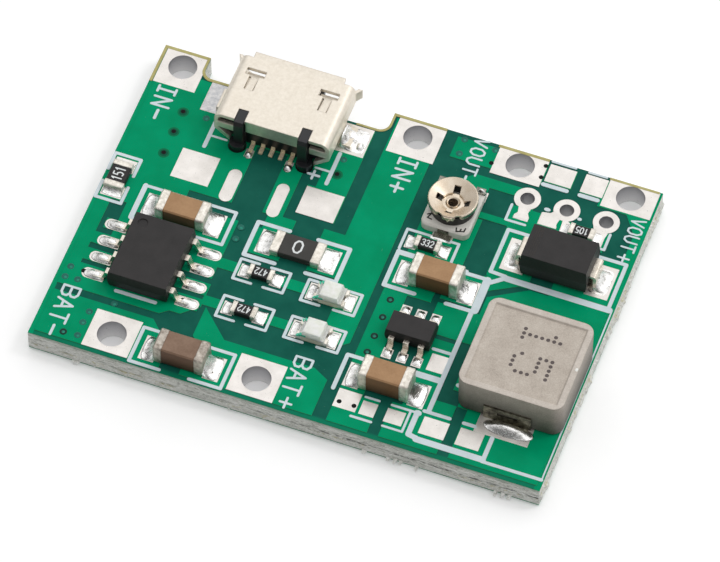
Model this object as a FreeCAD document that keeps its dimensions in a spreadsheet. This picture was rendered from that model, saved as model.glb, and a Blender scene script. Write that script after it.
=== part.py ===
"""A small charge and boost converter board: laminate, copper, pads, parts and a micro-USB socket.

The board lies on its underside. The origin is the centre of the underside, +X runs along the
long side towards the inductor, +Y towards the socket's mouth and +Z out of the parts side.
"""
import FreeCAD, Part
import os
import re
import Sketcher

from FreeCAD import Placement, Rotation, Vector

UP = Vector(0, 0, 1)

# Driving sizes in millimetres. A place is measured to the nearest board edge: left, right,
# front (the battery side) or back (the socket side). Parts inside the board spread with it: their
# places are those of a board of the layout's size.
SIZES = {
    # Board and its layers
    "board_length": 32.6,
    "board_width": 22.9,
    "layout_length": 32.6,
    "layout_width": 22.9,
    "board_thickness": 1.6,
    "mask_thickness": 0.02,
    "copper_thickness": 0.035,
    "copper_edge": 0.3,
    "copper_cover": 0.03,
    "notch_left": 3.0,
    "notch_length": 12.15,
    "notch_depth": 1.5,
    "notch_radius": 0.6,
    "plating": 0.04,
    # Wire pads in the board's edges
    "wire_hole_radius": 0.9,
    "input_negative_length": 2.75,
    "input_positive_length": 3.05,
    "input_pad_width": 2.65,
    "input_pad_back": 0.2,
    "input_hole_back": 1.25,
    "input_negative_left": 1.6,
    "input_spacing": 15.5,
    "output_pad_length": 3.2,
    "output_pad_width": 2.1,
    "output_pad_back": 0.1,
    "output_hole_back": 1.06,
    "output_positive_right": 1.75,
    "output_spacing": 7.15,
    "battery_pad_length": 2.95,
    "battery_pad_width": 2.75,
    "battery_pad_front": 0.3,
    "battery_hole_front": 1.62,
    "battery_negative_left": 4.8,
    "battery_spacing": 9.3,
    # Pin header holes of a leaded trimmer
    "header_pitch": 2.54,
    "header_hole_radius": 0.45,
    "header_ring_radius": 0.825,
    "header_right": 5.11,
    "header_back": 3.25,
    # Micro-USB socket
    "usb_left": 9.1,
    "usb_back": 5.5,
    "shell_width": 7.5,
    "shell_height": 2.5,
    "shell_length": 4.8,
    "shell_wall": 0.26,
    "shell_floor_width": 5.3,
    "shell_shoulder": 1.0,
    "shell_corner": 0.55,
    "lip_length": 0.36,
    "lip_rise": 0.3,
    "top_lip_rise": 0.08,
    "top_lip_width": 5.9,
    "floor_lip_width": 4.2,
    "side_lip_height": 1.0,
    "window_spacing": 4.8,
    "window_arm": 0.62,
    "window_head": 1.25,
    "window_rear": 2.35,
    "window_neck": 3.45,
    "window_front": 3.95,
    "spring_gap": 0.06,
    "spring_dip": 10.0,
    "clip_spacing": 4.16,
    "clip_width": 0.6,
    "clip_reach": 0.8,
    "clip_gap": 0.03,
    "rear_wall_width": 3.4,
    "rear_wall_height": 1.05,
    "side_tab_height": 0.55,
    "side_tab_middle": 1.45,
    "side_tab_reach": 1.05,
    "floor_opening": 1.25,
    "shell_foot_reach": 0.65,
    "shell_foot_width": 1.5,
    "shell_foot_middle": 2.7,
    "housing_depth": 1.3,
    "housing_back": 0.3,
    "peg_radius": 0.5,
    "peg_clearance": 0.07,
    "peg_spacing": 4.4,
    "peg_depth": 1.2,
    "peg_setback": 0.15,
    "peg_collar": 0.45,
    "tongue_width": 3.7,
    "tongue_length": 3.2,
    "tongue_thickness": 0.6,
    "tongue_floor": 1.1,
    "contact_pitch": 0.65,
    "contact_width": 0.26,
    "contact_thickness": 0.12,
    "contact_reach": 2.9,
    "contact_foot": 0.32,
    # Eight-lead charger chip
    "charger_left": 5.2,
    "charger_front": 7.19,
    "charger_length": 4.9,
    "charger_width": 3.9,
    "charger_height": 1.45,
    "charger_pitch": 1.27,
    "charger_span": 6.0,
    "charger_lead_width": 0.42,
    "charger_foot": 0.6,
    "charger_dimple": 0.32,
    # Six-lead boost chip
    "boost_right": 10.85,
    "boost_front": 7.7,
    "boost_length": 2.9,
    "boost_width": 1.6,
    "boost_height": 1.1,
    "boost_pitch": 0.95,
    "boost_span": 2.8,
    "boost_lead_width": 0.36,
    "boost_foot": 0.35,
    # Shared sizes of the moulded chips
    "chip_standoff": 0.12,
    "chip_draft": 7.0,
    "lead_thickness": 0.18,
    "lead_shoulder": 0.2,
    "dimple_depth": 0.06,
    # Diode
    "diode_right": 4.13,
    "diode_back": 7.5,
    "diode_length": 4.3,
    "diode_width": 2.6,
    "diode_height": 2.15,
    "diode_draft": 5.0,
    "diode_strip_width": 1.45,
    "diode_strip_thickness": 0.2,
    "diode_strip_reach": 0.42,
    "diode_strip_foot": 1.1,
    "diode_strip_bend": 0.18,
    # Inductor
    "inductor_right": 3.4,
    "inductor_front": 7.15,
    "inductor_length": 6.6,
    "inductor_width": 6.5,
    "inductor_height": 2.8,
    "inductor_corner": 0.7,
    "inductor_rim": 0.38,
    "inductor_tray": 0.09,
    "terminal_width": 3.0,
    "terminal_thickness": 0.12,
    "terminal_height": 1.15,
    "terminal_foot": 1.4,
    "terminal_window_width": 1.25,
    "terminal_window_height": 0.3,
    "terminal_window_floor": 0.55,
    # Ceramic chip capacitors
    "capacitor_length": 3.2,
    "capacitor_width": 1.6,
    "capacitor_bevel": 0.09,
    "charger_capacitor_height": 1.1,
    "charger_capacitor_left": 5.7,
    "charger_capacitor_front": 11.2,
    "battery_capacitor_height": 1.5,
    "battery_capacitor_left": 9.42,
    "battery_capacitor_front": 1.42,
    "output_capacitor_height": 1.55,
    "output_capacitor_right": 10.75,
    "output_capacitor_front": 11.87,
    "boost_capacitor_height": 1.6,
    "boost_capacitor_right": 11.03,
    "boost_capacitor_front": 3.85,
    # Chip resistors
    "big_resistor_length": 3.2,
    "big_resistor_width": 1.6,
    "big_resistor_height": 0.55,
    "middle_resistor_length": 2.0,
    "middle_resistor_width": 1.25,
    "middle_resistor_height": 0.5,
    "small_resistor_length": 1.6,
    "small_resistor_width": 0.8,
    "small_resistor_height": 0.45,
    "resistor_bevel": 0.03,
    "link_left": 13.2,
    "link_front": 11.1,
    "edge_resistor_left": 0.97,
    "edge_resistor_front": 12.45,
    "led_resistor_left": 11.72,
    "back_led_front": 8.68,
    "front_led_front": 5.79,
    "feedback_right": 12.15,
    "feedback_to_trimmer": 2.92,
    "trimmer_resistor_right": 3.68,
    "trimmer_resistor_back": 4.65,
    # Ends shared by the chip parts
    "end_thickness": 0.03,
    "big_end": 0.55,
    "middle_end": 0.4,
    "small_end": 0.3,
    # Indicator lamps
    "led_left": 16.25,
    "led_length": 2.0,
    "led_width": 1.25,
    "led_base_height": 0.35,
    "led_height": 0.85,
    "led_lens_length": 1.25,
    "led_lens_draft": 8.0,
    "led_step_length": 1.62,
    "led_step_height": 0.12,
    "led_end": 0.38,
    "led_end_notch": 0.25,
    # Trimmer potentiometer
    "trimmer_right": 11.57,
    "trimmer_back": 5.83,
    "trimmer_length": 3.1,
    "trimmer_width": 3.5,
    "trimmer_base_height": 0.62,
    "trimmer_corner": 0.45,
    "trimmer_edge": 0.12,
    "track_radius": 1.38,
    "track_bore": 1.15,
    "track_height": 0.7,
    "dial_turn": 7.0,
    "rotor_radius": 1.55,
    "rotor_skirt": 0.34,
    "rotor_sheet": 0.12,
    "rotor_gap": 0.03,
    "rotor_crown": 0.07,
    "rotor_dish": 0.48,
    "rotor_bore": 0.66,
    "slot_width": 0.42,
    "slot_reach": 1.06,
    "slot_turn": -5.0,
    "rim_notch_radius": 0.3,
    "rim_notch_depth": 0.16,
    "rim_notch_turn": 22.5,
    "pointer_width": 0.56,
    "pointer_drop": 0.42,
    "eyelet_shoulder": 0.72,
    "eyelet_bore": 0.3,
    "eyelet_lip": 0.16,
    "back_terminal_spacing": 2.4,
    "back_terminal_width": 0.6,
    "front_terminal_width": 0.7,
    "front_terminal_height": 0.5,
    "front_foot_width": 1.1,
    "front_foot_reach": 0.35,
    "trimmer_strip": 0.12,
    # Solder lands under the parts: how far out a land's middle lies, its length and its width
    "big_land_middle": 2.06,
    "big_land_length": 1.0,
    "big_land_width": 1.75,
    "middle_land_middle": 1.0,
    "middle_land_length": 0.95,
    "middle_land_width": 1.35,
    "small_land_middle": 1.02,
    "small_land_length": 0.75,
    "small_land_width": 0.95,
    "led_land_middle": 1.12,
    "led_land_length": 0.8,
    "led_land_width": 1.25,
    "charger_land_middle": 3.05,
    "charger_land_length": 1.45,
    "charger_land_width": 0.75,
    "boost_land_middle": 1.65,
    "boost_land_length": 0.72,
    "boost_land_width": 0.62,
    "diode_land_middle": 2.7,
    "diode_land_length": 1.5,
    "diode_land_width": 2.4,
    "inductor_land_middle": 3.6,
    "inductor_land_length": 3.4,
    "inductor_land_width": 1.9,
    "shell_land_middle": 4.3,
    "shell_land_length": 2.1,
    "shell_land_width": 2.2,
    "contact_land_length": 0.6,
    "trimmer_land_length": 0.75,
}

doc = FreeCAD.newDocument("BoostConverterModule")
sheet = doc.addObject("Spreadsheet::Sheet", "Sizes")
for row, (alias, size) in enumerate(SIZES.items(), start=1):
    sheet.set(f"A{row}", alias)
    sheet.set(f"B{row}", str(size))
    sheet.setAlias(f"B{row}", alias)
doc.recompute()

nodes = []


def full(formula):
    """The formula with each size's name pointing into the sheet."""
    return re.sub(r"[a-z]\w*", lambda word: "Sizes." + word[0] if word[0] in SIZES else word[0], formula)


def number(formula):
    """What a formula of sizes comes to."""
    return float(sheet.evalExpression(full(formula)))


def bind(item, **formulas):
    """Tie properties to formulas; a double underscore in a name stands for a dot."""
    for path, formula in formulas.items():
        item.setExpression(path.replace("__", "."), full(formula))
    return item


def left_edge(distance):
    return f"({distance}) - board_length / 2"


def right_edge(distance):
    return f"board_length / 2 - ({distance})"


def front_edge(distance):
    return f"({distance}) - board_width / 2"


def back_edge(distance):
    return f"board_width / 2 - ({distance})"


def left(distance):
    return left_edge(f"({distance}) * board_length / layout_length")


def right(distance):
    return right_edge(f"({distance}) * board_length / layout_length")


def front(distance):
    return front_edge(f"({distance}) * board_width / layout_width")


def back(distance):
    return back_edge(f"({distance}) * board_width / layout_width")


def place(item, x="0", y="0", z="0", turned=0):
    """Put an item at a spot of the board, turned about the vertical."""
    item.Placement = Placement(Vector(), Rotation(UP, turned))
    return bind(item, Placement__Base__x=x, Placement__Base__y=y, Placement__Base__z=z)


def node(item):
    """Mark an item as a piece of its own, to be written out."""
    nodes.append(item)
    return item


def new_body(name):
    body = doc.addObject("PartDesign::Body", name)
    body.Label = name
    body.AllowCompound = True
    return body


def new_sketch(body, name, plane="XY_Plane", x="0", y="0", offset="0"):
    """A sketch on one of the body's own planes, moved along that plane's normal by the offset."""
    sketch = body.newObject("Sketcher::SketchObject", name)
    support = next(item for item in body.Origin.OriginFeatures if item.Role == plane)
    sketch.AttachmentSupport = [(support, "")]
    sketch.MapMode = "FlatFace"
    return bind(sketch, AttachmentOffset__Base__x=x, AttachmentOffset__Base__y=y,
                AttachmentOffset__Base__z=offset)


def fix_point(sketch, geometry, corner, x, y):
    """Tie a point of the sketch to two formulas."""
    for kind, formula in (("DistanceX", x), ("DistanceY", y)):
        rule = sketch.addConstraint(Sketcher.Constraint(kind, -1, 1, geometry, corner, number(formula)))
        sketch.setExpression(f"Constraints[{rule}]", full(formula))


def draw(sketch, points):
    """A closed outline of straight lines through points given as pairs of formulas."""
    first = sketch.GeometryCount
    spots = [Vector(number(x), number(y), 0) for x, y in points]
    count = len(spots)
    lines = [Part.LineSegment(spots[i], spots[(i + 1) % count]) for i in range(count)]
    sketch.addGeometry(lines, False)
    sketch.addConstraint([Sketcher.Constraint("Coincident", first + i, 2, first + (i + 1) % count, 1)
                          for i in range(count)])
    for i, (x, y) in enumerate(points):
        fix_point(sketch, first + i, 1, x, y)
    return sketch


def draw_box(sketch, x, y, length, width):
    """A rectangle about its middle."""
    low_x, high_x = f"{x} - ({length}) / 2", f"{x} + ({length}) / 2"
    low_y, high_y = f"{y} - ({width}) / 2", f"{y} + ({width}) / 2"
    return draw(sketch, [(low_x, low_y), (high_x, low_y), (high_x, high_y), (low_x, high_y)])


def draw_circle(sketch, x, y, radius):
    circle = Part.Circle(Vector(number(x), number(y), 0), UP, number(radius))
    ring = sketch.addGeometry(circle, False)
    fix_point(sketch, ring, 3, x, y)
    rule = sketch.addConstraint(Sketcher.Constraint("Radius", ring, number(radius)))
    sketch.setExpression(f"Constraints[{rule}]", full(radius))
    return sketch


def feature(kind, body, name, sketch, length, **settings):
    """A pad or pocket of a sketch; the length and any other formula stay tied to the sheet."""
    item = body.newObject("PartDesign::" + kind, name)
    item.Profile = sketch
    for key, setting in settings.items():
        if isinstance(setting, str) and key not in ("SideType", "Type"):
            bind(item, **{key: setting})
        else:
            setattr(item, key, setting)
    bind(item, Length=length)
    doc.recompute()
    return item


def pad(body, name, sketch, length, **settings):
    return feature("Pad", body, name, sketch, length, **settings)


def pocket(body, name, sketch, length, **settings):
    """A pocket, which has to take something away."""
    before = body.Shape.Volume
    item = feature("Pocket", body, name, sketch, length, **settings)
    if body.Shape.Volume >= before:
        raise ValueError(name + " cuts nothing")
    return item


def picked_edges(body, chosen):
    """The body's last feature and the names of its straight edges that the test picks."""
    base = body.Tip
    names = []
    for index, edge in enumerate(base.Shape.Edges, start=1):
        if not isinstance(edge.Curve, Part.Line):
            continue
        middle = edge.valueAt((edge.FirstParameter + edge.LastParameter) / 2)
        if chosen(middle, edge.tangentAt(edge.FirstParameter)):
            names.append(f"Edge{index}")
    return base, names


def round_edges(body, name, radius, chosen):
    """Round the edges that the test picks by their middle and direction."""
    picked = picked_edges(body, chosen)
    item = body.newObject("PartDesign::Fillet", name)
    item.Base = picked
    bind(item, Radius=radius)
    doc.recompute()
    return item


def bevel_edges(body, name, size, chosen):
    """Bevel the edges that the test picks by their middle and direction."""
    picked = picked_edges(body, chosen)
    item = body.newObject("PartDesign::Chamfer", name)
    item.Base = picked
    bind(item, Size=size)
    doc.recompute()
    return item


def upright(middle, direction):
    return abs(direction.z) > 0.99


def pattern(body, name, original, axis, length, count):
    """Copies of a feature in a row along an axis of the body."""
    item = body.newObject("PartDesign::LinearPattern", name)
    item.Originals = [original]
    support = next(part for part in body.Origin.OriginFeatures if part.Role == axis)
    item.Direction = (support, [""])
    bind(item, Length=length)
    item.Occurrences = count
    body.Tip = item
    doc.recompute()
    return item


def boolean(kind, name, base, tool):
    item = doc.addObject("Part::" + kind, name)
    item.Base = base
    item.Tool = tool
    item.Label = name
    return item


def block(name, x, y, floor, length, width, height):
    """A plain box about its middle in plan, standing on its floor."""
    item = doc.addObject("Part::Box", name)
    bind(item, Length=length, Width=width, Height=height)
    return place(item, f"{x} - ({length}) / 2", f"{y} - ({width}) / 2", floor)


def fused(name, items):
    """Solids that touch or overlap, as one."""
    item = doc.addObject("Part::MultiFuse", name)
    item.Shapes = items
    item.Label = name
    return item


def group(name, items):
    """Separate solids of one kind, kept together."""
    item = doc.addObject("Part::Compound", name)
    item.Links = items
    item.Label = name
    return item


# The board's layers
LAYER = "mask_thickness + copper_thickness"
LAMINATE_TOP = "board_thickness - mask_thickness - copper_thickness"
PEG_SPOTS = [(f"{left('usb_left')} {side} peg_spacing / 2", back_edge("usb_back + peg_setback")) for side in "-+"]
HEADER_SPOTS = [(f"{right('header_right')} + {step} * header_pitch", back_edge("header_back")) for step in (-1, 0, 1)]


def wire_pads():
    """Each wire pad: its name, the hole's place and the pad's length, width and middle."""
    input_middle = back_edge("input_pad_back + input_pad_width / 2")
    output_middle = back_edge("output_pad_back + output_pad_width / 2")
    battery_middle = front_edge("battery_pad_front + battery_pad_width / 2")
    return [
        ("input_negative_pad", left_edge("input_negative_left"), back_edge("input_hole_back"),
         "input_negative_length", "input_pad_width", input_middle),
        ("input_positive_pad", left("input_negative_left + input_spacing"), back_edge("input_hole_back"),
         "input_positive_length", "input_pad_width", input_middle),
        ("output_negative_pad", right("output_positive_right + output_spacing"), back_edge("output_hole_back"),
         "output_pad_length", "output_pad_width", output_middle),
        ("output_positive_pad", right_edge("output_positive_right"), back_edge("output_hole_back"),
         "output_pad_length", "output_pad_width", output_middle),
        ("battery_negative_pad", left("battery_negative_left"), front_edge("battery_hole_front"),
         "battery_pad_length", "battery_pad_width", battery_middle),
        ("battery_positive_pad", left("battery_negative_left + battery_spacing"),
         front_edge("battery_hole_front"), "battery_pad_length", "battery_pad_width", battery_middle),
    ]


def board_plate(name, floor, thickness, edge="0"):
    """A plate of the board's outline, drawn in from the edges by an edge margin."""
    body = new_body(name)
    low_x, high_x = left_edge(edge), right_edge(edge)
    low_y, high_y = front_edge(edge), back_edge(edge)
    notch_low, notch_high = left_edge(f"notch_left - {edge}"), f"{left('notch_left + notch_length')} + {edge}"
    notch_floor = back_edge(f"notch_depth + {edge}")
    outline = draw(new_sketch(body, name + "_outline", offset=floor), [
        (low_x, low_y), (high_x, low_y), (high_x, high_y), (notch_high, high_y),
        (notch_high, notch_floor), (notch_low, notch_floor), (notch_low, high_y), (low_x, high_y)])
    pad(body, name + "_plate", outline, thickness)
    corner_y = number(notch_floor)
    round_edges(body, name + "_notch_corners", f"notch_radius + {edge}",
                lambda middle, run: abs(run.z) > 0.99 and abs(middle.y - corner_y) < 0.01)
    return body


def drilled_plate(name, floor, thickness, header_radius, edge="0"):
    """A board plate with its header holes and socket peg holes."""
    body = board_plate(name, floor, thickness, edge)
    drills = new_sketch(body, name + "_drills", offset=f"{floor} + {thickness}")
    for x, y in HEADER_SPOTS:
        draw_circle(drills, x, y, header_radius)
    for x, y in PEG_SPOTS:
        draw_circle(drills, x, y, "peg_radius + peg_clearance")
    pocket(body, name + "_holes", drills, thickness)
    return body


def plated_hole(body, name, spots, radius, outline):
    """Copper on both faces, drawn by the outline function, joined by the plated walls of holes."""
    for face, floor in (("top", LAMINATE_TOP), ("bottom", "0")):
        pad(body, f"{name}_{face}", outline(new_sketch(body, f"{name}_{face}_outline", offset=floor)), LAYER)
    walls = new_sketch(body, name + "_wall_outline")
    drills = new_sketch(body, name + "_drill", offset="board_thickness")
    for x, y in spots:
        draw_circle(walls, x, y, f"{radius} + plating")
        draw_circle(drills, x, y, radius)
    pad(body, name + "_wall", walls, "board_thickness")
    pocket(body, name + "_hole", drills, "board_thickness")
    return body


pads = []
for pad_name, hole_x, hole_y, pad_length, pad_width, pad_y in wire_pads():
    pads.append(node(plated_hole(
        new_body(pad_name), pad_name, [(hole_x, hole_y)], "wire_hole_radius",
        lambda sketch: draw_box(sketch, hole_x, pad_y, pad_length, pad_width))))


def header_rings_outline(sketch):
    for x, y in HEADER_SPOTS:
        draw_circle(sketch, x, y, "header_ring_radius")
    return sketch


header_rings = node(plated_hole(new_body("trimmer_header_rings"), "trimmer_header_rings", HEADER_SPOTS,
                                "header_hole_radius", header_rings_outline))
laminate_depth = f"board_thickness - 2 * ({LAYER})"
laminate = drilled_plate("laminate", LAYER, laminate_depth, "header_hole_radius + plating")
wire_drills = new_sketch(laminate, "wire_drills", offset=LAMINATE_TOP)
for _, hole_x, hole_y, _, _, _ in wire_pads():
    draw_circle(wire_drills, hole_x, hole_y, "wire_hole_radius + plating")
pocket(laminate, "wire_holes", wire_drills, laminate_depth)
node(laminate)

# Places of the parts
USB = (left("usb_left"), back_edge("usb_back"))
CHARGER = (left("charger_left"), front("charger_front"))
BOOST = (right("boost_right"), front("boost_front"))
DIODE = (right_edge("diode_right"), back("diode_back"))
INDUCTOR = (right_edge("inductor_right"), front("inductor_front"))
TRIMMER = (right("trimmer_right"), back("trimmer_back"))

# Chip parts: name, place, family, height and whether the part is turned across the board
CAPACITORS = [
    ("charger_capacitor", left("charger_capacitor_left"), front("charger_capacitor_front")),
    ("battery_capacitor", left("battery_capacitor_left"), front("battery_capacitor_front")),
    ("output_capacitor", right("output_capacitor_right"), front("output_capacitor_front")),
    ("boost_capacitor", right("boost_capacitor_right"), front("boost_capacitor_front")),
]
RESISTORS = [
    ("link_resistor", left("link_left"), front("link_front"), "big", 0),
    ("edge_resistor", left("edge_resistor_left"), front("edge_resistor_front"), "middle", 90),
    ("back_led_resistor", left("led_resistor_left"), front("back_led_front"), "small", 0),
    ("front_led_resistor", left("led_resistor_left"), front("front_led_front"), "small", 0),
    ("feedback_resistor", right("feedback_right"), f"{TRIMMER[1]} - feedback_to_trimmer", "small", 0),
    ("trimmer_resistor", right("trimmer_resistor_right"), back("trimmer_resistor_back"), "small", 0),
]
LEDS = [
    ("back_led", left("led_left"), front("back_led_front")),
    ("front_led", left("led_left"), front("front_led_front")),
]


def land_boxes():
    """Every solder land on the parts side: middle, length and width."""
    lands = []

    def two(x, y, middle, length, width, turned=0):
        for side in "-+":
            if turned:
                lands.append((x, f"{y} {side} {middle}", width, length))
            else:
                lands.append((f"{x} {side} {middle}", y, length, width))

    for _, x, y in CAPACITORS:
        two(x, y, "big_land_middle", "big_land_length", "big_land_width")
    for _, x, y, family, turned in RESISTORS:
        two(x, y, family + "_land_middle", family + "_land_length", family + "_land_width", turned)
    for _, x, y in LEDS:
        two(x, y, "led_land_middle", "led_land_length", "led_land_width")
    two(*DIODE, "diode_land_middle", "diode_land_length", "diode_land_width")
    two(*INDUCTOR, "inductor_land_middle", "inductor_land_width", "inductor_land_length", 90)
    for row in (-1.5, -0.5, 0.5, 1.5):
        two(CHARGER[0], f"{CHARGER[1]} + {row} * charger_pitch", "charger_land_middle",
            "charger_land_length", "charger_land_width")
    for row in (-1, 0, 1):
        two(f"{BOOST[0]} + {row} * boost_pitch", BOOST[1], "boost_land_middle", "boost_land_length",
            "boost_land_width", 90)
    two(USB[0], f"{USB[1]} + shell_foot_middle", "shell_land_middle", "shell_land_length",
        "shell_land_width")
    two(USB[0], f"{USB[1]} - contact_foot - contact_land_length / 4", "2 * contact_pitch",
        "contact_width * 2", "contact_land_length")
    two(TRIMMER[0], f"{TRIMMER[1]} + trimmer_width / 2", "back_terminal_spacing / 2",
        "trimmer_land_length", "trimmer_land_length")
    lands.append((TRIMMER[0], f"{TRIMMER[1]} - trimmer_width / 2 - 0.1", "front_foot_width + 0.2",
                  "trimmer_land_length"))
    return lands


# Bare lands with no part on them: middle to the named edges, length and width
SPARE_LANDS = [
    (left("5.07"), back("8.08"), "2.45", "2.25"),
    (left("13.22"), back("8.05"), "2.45", "2.1"),
    (right("6.3"), back("0.97"), "1.7", "1.35"),
    (right("4.13"), back("0.95"), "1.45", "1.4"),
    (right("8.67"), front("6.37"), "1.15", "1.25"),
    (right("12.88"), front("2.07"), "1.45", "1.35"),
    (right("11.48"), front("1.9"), "0.95", "1"),
    (right("9.82"), front("1.9"), "1.15", "1"),
    (right("7.35"), front("1.97"), "1.6", "1.25"),
    (right("5.1"), front("1.97"), "1.5", "1.25"),
    (right("7.57"), back("4.4"), "0.95", "1"),
    (right("5.9"), back("4.35"), "1.2", "0.9"),
]

# The two lands with round ends behind the socket
SLOT_LANDS = [
    (left("7.58"), back("8.6"), "0.85", "2.5"),
    (left("10.7"), back("8.65"), "0.8", "2.6"),
]


def slot_land(name, x, y, width, length):
    """A land along Y with a round end each way."""
    pieces = [block(name, x, y, LAMINATE_TOP, width, f"{length} - {width}", LAYER)]
    for side in "-+":
        end = doc.addObject("Part::Cylinder", name + "_end")
        bind(end, Radius=f"{width} / 2", Height=LAYER)
        pieces.append(place(end, x, f"{y} {side} ({length} - {width}) / 2", LAMINATE_TOP))
    return pieces


land_blocks = [block(f"land_{index}", x, y, LAMINATE_TOP, length, width, LAYER)
               for index, (x, y, length, width) in enumerate(land_boxes() + SPARE_LANDS)]
for index, (x, y, width, length) in enumerate(SLOT_LANDS):
    land_blocks += slot_land(f"slot_land_{index}", x, y, width, length)
lands = fused("surface_lands", land_blocks)
wire_blocks = [block(f"{name}_area", x, middle, LAMINATE_TOP, length, width, LAYER)
               for name, x, _, length, width, middle in wire_pads()]
ring_plugs = []
for index, (x, y) in enumerate(HEADER_SPOTS):
    plug = doc.addObject("Part::Cylinder", f"ring_area_{index}")
    bind(plug, Radius="header_ring_radius", Height=LAYER)
    ring_plugs.append(place(plug, x, y, LAMINATE_TOP))
lands_clearance = group("lands_clearance", wire_blocks + ring_plugs)
surface_pads = node(boolean("Cut", "surface_pads", lands, lands_clearance))

# Copper under the mask. Each area is a side it is measured from, an end it is measured from and its
# corners: distances from that side edge and that end edge.
POURS = [
    # Ground round the socket and beside the charger
    (left, back, [("0.3", "0.3"), ("2.75", "0.3"), ("2.75", "1.75"), ("8.1", "1.75"), ("8.1", "9.8"),
                  ("5.35", "9.8"), ("5.35", "10.9"), ("2.3", "10.9"), ("2.3", "12"), ("0.3", "12")]),
    (left, back, [("7", "1.75"), ("14.5", "1.75"), ("14.5", "7"), ("12.5", "7"), ("12.5", "5.6"),
                  ("11.4", "5.8"), ("11.4", "9.8"), ("10.1", "9.8"), ("10.1", "5.3"), ("7", "5.3")]),
    (left, back, [("12", "6.9"), ("14.5", "6.9"), ("14.5", "9.1"), ("12", "9.1")]),
    (left, front, [("0.3", "4"), ("1.1", "4"), ("1.1", "11.4"), ("0.3", "11.4")]),
    (left, front, [("1", "7.45"), ("9", "7.45"), ("9", "12"), ("2.1", "12"), ("2.1", "8.3"),
                   ("1", "8.3")]),
    (left, front, [("0.5", "6.15"), ("9.1", "6.15"), ("9.1", "7.05"), ("0.5", "7.05")]),
    (left, front, [("0.5", "4"), ("6.9", "4"), ("7.4", "4.4"), ("8.1", "4.4"), ("9.1", "5.3"),
                   ("9.1", "5.85"), ("0.5", "5.85")]),
    # Links from the charger through the resistors to the lamps
    (left, front, [("8.9", "8.35"), ("11", "8.35"), ("11", "9.1"), ("8.9", "9.1")]),
    (left, front, [("9", "5.5"), ("11", "5.5"), ("11", "6.2"), ("9", "6.2")]),
    (left, front, [("12.3", "8.35"), ("15.2", "8.35"), ("15.2", "9.1"), ("12.3", "9.1")]),
    (left, front, [("12.3", "5.5"), ("15.2", "5.5"), ("15.2", "6.2"), ("12.3", "6.2")]),
    # Input supply
    (left, back, [("15.45", "0.3"), ("18.45", "0.3"), ("18.45", "12"), ("15.45", "12")]),
    (left, front, [("14.1", "10.05"), ("16", "10.05"), ("16", "9.1"), ("16.6", "9.1"), ("16.6", "5.6"),
                   ("18", "5.6"), ("18.45", "5.95"), ("18.45", "13.25"), ("14.1", "13.25")]),
    (left, front, [("10.05", "10.05"), ("12.3", "10.05"), ("12.3", "13.2"), ("10.5", "13.2"),
                   ("10.5", "12"), ("10.05", "12")]),
    # Battery sides
    (left, front, [("0.3", "0.3"), ("8.3", "0.3"), ("8.3", "2.2"), ("7.4", "2.85"), ("6.75", "3.5"),
                   ("0.3", "3.5")]),
    (left, front, [("9.6", "0.3"), ("18.1", "0.3"), ("18.1", "3"), ("17.1", "3.55"), ("11.3", "3.55"),
                   ("9.4", "5.4"), ("9.4", "3.2"), ("9.6", "3")]),
    # Output ground, the trimmer's link and the small areas at the back
    (right, back, [("13.2", "0.3"), ("7.25", "0.3"), ("7.25", "1.9"), ("13.2", "1.9")]),
    (right, back, [("13.2", "3.5"), ("12.3", "3.5"), ("11.2", "2.6"), ("8.1", "2.6"), ("8.1", "3.3"),
                   ("10.1", "3.3"), ("10.1", "5.7"), ("9.7", "5.7"), ("9.7", "9.5"), ("13.2", "9.5")]),
    (right, back, [("7.15", "0.3"), ("5.4", "0.3"), ("5.4", "1.7"), ("7.15", "1.7")]),
    (right, back, [("4.85", "0.3"), ("0.3", "0.3"), ("0.3", "5.7"), ("0.7", "5.7"), ("0.7", "3.6"),
                   ("1.6", "2.3"), ("3.5", "2.3"), ("3.5", "1.7"), ("4.85", "1.7")]),
    # Boosted side: the diode's cathode with the output capacitor
    (right, back, [("8", "9.55"), ("5.5", "9.55"), ("5.5", "5.5"), ("2.1", "5.5"), ("2.1", "4"),
                   ("8.3", "4"), ("8.3", "5.15"), ("10.2", "5.15"), ("10.2", "5.6"), ("8.15", "5.6"),
                   ("8.15", "9.4")]),
    (right, front, [("10.2", "10.9"), ("7.8", "10.9"), ("7.8", "12.3"), ("5.9", "13.4"),
                    ("8.15", "13.4"), ("8.6", "13"), ("10.2", "13")]),
    # Switching side: the inductor's back end with the diode's anode
    (right, back, [("4.1", "10"), ("0.3", "10"), ("0.3", "5.9"), ("4.1", "5.9")]),
    (right, front, [("10.2", "8.35"), ("0.3", "8.35"), ("0.3", "13.3"), ("5.3", "13.3"),
                    ("7.55", "11.95"), ("7.55", "10.6"), ("10.2", "10.6")]),
    # Battery feed of the inductor's front end and the enable side
    (right, front, [("5.9", "0.3"), ("0.3", "0.3"), ("0.3", "8.05"), ("7.2", "8.05"), ("7.2", "4.95"),
                    ("6.55", "4.95"), ("6.55", "3.9"), ("5.9", "3.9")]),
    (right, front, [("10.3", "0.3"), ("6.6", "0.3"), ("6.6", "3.9"), ("7.9", "3.9"), ("7.9", "8.05"),
                    ("9.7", "8.05"), ("9.7", "2.9"), ("10.3", "2.9")]),
    # Ground strip beside the boost chip
    (right, front, [("13.6", "0.3"), ("11", "0.3"), ("11", "2.6"), ("12.1", "2.6"), ("12.1", "10.4"),
                    ("10.6", "10.4"), ("10.6", "13.1"), ("13.6", "13.1")]),
]


def pour_area(from_side, from_end, corners):
    """One flat copper area, facing up whichever way round its corners run."""
    points = [Vector(number(from_side(x)), number(from_end(y)), 0) for x, y in corners]
    area = Part.Face(Part.makePolygon(points + points[:1]))
    if area.normalAt(0, 0).z < 0:
        points.reverse()
        area = Part.Face(Part.makePolygon(points + points[:1]))
    return area


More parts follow.
